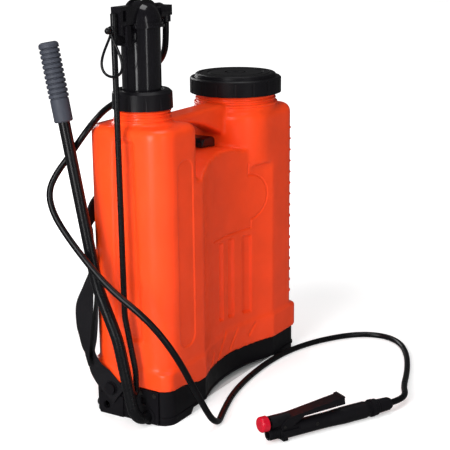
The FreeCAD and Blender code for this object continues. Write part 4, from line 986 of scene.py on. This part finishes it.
def build_lamps(scene):
    """Wide soft lamps for the pump side, the front and the top, and slim strips for highlights."""
    soft_lamp(scene, "key", (-2.5, 0.0, 1.2), (0, 0, 0.25), (1.6, 2.0), 43.0, mirrored=False)
    soft_lamp(scene, "key_strip", (-2.5, -0.1, 1.1), (0, 0, 0.30), (0.8, 2.2), 38.0)
    soft_lamp(scene, "front", (-1.7, -1.5, 1.3), (0, 0, 0.25), (0.4, 1.2), 19.0, mirrored=False)
    soft_lamp(scene, "front_strip", (-1.1, -2.4, 1.0), (0, 0, 0.35), (0.25, 2.0), 7.0)
    soft_lamp(scene, "top", (0.1, -0.2, 2.6), (0, 0, 0.3), (1.2, 1.2), 19.0)
    soft_lamp(scene, "rim", (1.2, 2.2, 1.2), (0, 0, 0.3), (0.8, 1.6), 20.0)


def build_surround(scene):
    """White to the camera and through clear parts, and a dim glow to diffuse and mirrored light."""
    world = bpy.data.worlds.new("surround")
    world.use_nodes = True
    tree = world.node_tree
    tree.nodes.clear()
    rays = add(tree, "ShaderNodeLightPath")
    seen = add(tree, "ShaderNodeMath", {
        0: rays.outputs["Is Camera Ray"], 1: rays.outputs["Is Transmission Ray"]}, operation="MAXIMUM")
    level = add(tree, "ShaderNodeMapRange", {
        "Value": seen.outputs[0], "To Min": SURROUND_GLOW, "To Max": 1.0})
    mirrored = add(tree, "ShaderNodeMath", {
        0: rays.outputs["Is Glossy Ray"], 1: SURROUND_GLOSS - SURROUND_GLOW,
        2: level.outputs["Result"]}, operation="MULTIPLY_ADD")
    sky = add(tree, "ShaderNodeBackground", {"Color": WHITE, "Strength": mirrored.outputs[0]})
    add(tree, "ShaderNodeOutputWorld", {"Surface": sky.outputs["Background"]})
    scene.world = world


def floor_paper():
    """White paper: matt, glowing to the camera far from the sprayer, with no glow under its base, so that
    a painted shadow lies there.
    """
    made, tree, shader, coords = new_material("white_paper_sweep")
    shader.inputs["Base Color"].default_value = (0.82, 0.82, 0.82, 1.0)
    shader.inputs["Roughness"].default_value = 0.9
    shader.inputs["Specular IOR Level"].default_value = 0.2
    reach = add(tree, "ShaderNodeVectorMath", {0: coords.outputs["Object"]}, operation="LENGTH")
    away = add(tree, "ShaderNodeMapRange", {
        "Value": reach.outputs["Value"], "From Min": GLOW_NEAR, "From Max": GLOW_FAR,
        "To Min": GLOW_LOW, "To Max": 1.0}, interpolation_type="SMOOTHSTEP")
    rays = add(tree, "ShaderNodeLightPath")
    split = add(tree, "ShaderNodeSeparateXYZ", {"Vector": coords.outputs["Object"]})
    # painted shadow: the glow is taken away inside the rectangle under the base
    inside = []
    for axis, half in (("X", PAINTED_SHADOW_UNDER_BASE[0]), ("Y", PAINTED_SHADOW_UNDER_BASE[1])):
        span = add(tree, "ShaderNodeMath", {0: split.outputs[axis]}, operation="ABSOLUTE")
        inside.append(add(tree, "ShaderNodeMath", {0: span.outputs[0], 1: half}, operation="LESS_THAN"))
    under = add(tree, "ShaderNodeMath", {
        0: inside[0].outputs[0], 1: inside[1].outputs[0]}, operation="MULTIPLY")
    clear = add(tree, "ShaderNodeMath", {0: 1.0, 1: under.outputs[0]}, operation="SUBTRACT")
    here = add(tree, "ShaderNodeMath", {
        0: clear.outputs[0], 1: away.outputs["Result"]}, operation="MULTIPLY")
    level = add(tree, "ShaderNodeMath", {
        0: rays.outputs["Is Camera Ray"], 1: here.outputs[0]}, operation="MULTIPLY")
    glow = add(tree, "ShaderNodeEmission", {"Color": WHITE, "Strength": level.outputs[0]})
    both = add(tree, "ShaderNodeAddShader", {0: shader.outputs["BSDF"], 1: glow.outputs["Emission"]})
    mirrored = add(tree, "ShaderNodeEmission", {"Color": WHITE, "Strength": FLOOR_GLOSS})
    surface = add(tree, "ShaderNodeMixShader", {
        "Fac": rays.outputs["Is Glossy Ray"], 1: both.outputs["Shader"],
        2: mirrored.outputs["Emission"]})
    out = next(n for n in tree.nodes if n.type == "OUTPUT_MATERIAL")
    tree.links.new(surface.outputs["Shader"], out.inputs["Surface"])
    return made


def build_floor():
    """A wide pale floor: it keeps the sprayer's shadow near it, holds a painted shadow under the base and
    runs out to plain white.
    """
    mesh = bpy.data.meshes.new("floor")
    reach = FLOOR_REACH
    corners = [(-reach, -reach, 0), (reach, -reach, 0), (reach, reach, 0), (-reach, reach, 0)]
    mesh.from_pydata(corners, [], [(0, 1, 2, 3)])
    mesh.materials.append(floor_paper())
    floor = bpy.data.objects.new("floor", mesh)
    bpy.context.scene.collection.objects.link(floor)


STEPS = (SPRAYER_OT_stage, SPRAYER_OT_hose, SPRAYER_OT_tank, SPRAYER_OT_mouldings, SPRAYER_OT_straps,
         SPRAYER_OT_anchor, SPRAYER_OT_catch, SPRAYER_OT_spring, SPRAYER_OT_plastics, SPRAYER_OT_steel)
CLASSES = (SprayerSizes, SprayerColours, *STEPS, SPRAYER_PT_panel)


def register():
    for made in CLASSES:
        bpy.utils.register_class(made)
    bpy.types.Scene.sprayer_sizes = bpy.props.PointerProperty(type=SprayerSizes)
    bpy.types.Scene.sprayer_colours = bpy.props.PointerProperty(type=SprayerColours)


def unregister():
    del bpy.types.Scene.sprayer_sizes
    del bpy.types.Scene.sprayer_colours
    for made in reversed(CLASSES):
        bpy.utils.unregister_class(made)


def main():
    """Makes every piece in order."""
    register()
    bpy.ops.sprayer.stage()
    bpy.ops.sprayer.hose()
    bpy.ops.sprayer.tank()
    bpy.ops.sprayer.mouldings()
    bpy.ops.sprayer.straps()
    bpy.ops.sprayer.anchor()
    bpy.ops.sprayer.catch()
    bpy.ops.sprayer.spring()
    bpy.ops.sprayer.plastics()
    bpy.ops.sprayer.steel()


if __name__ == "__main__":
    main()
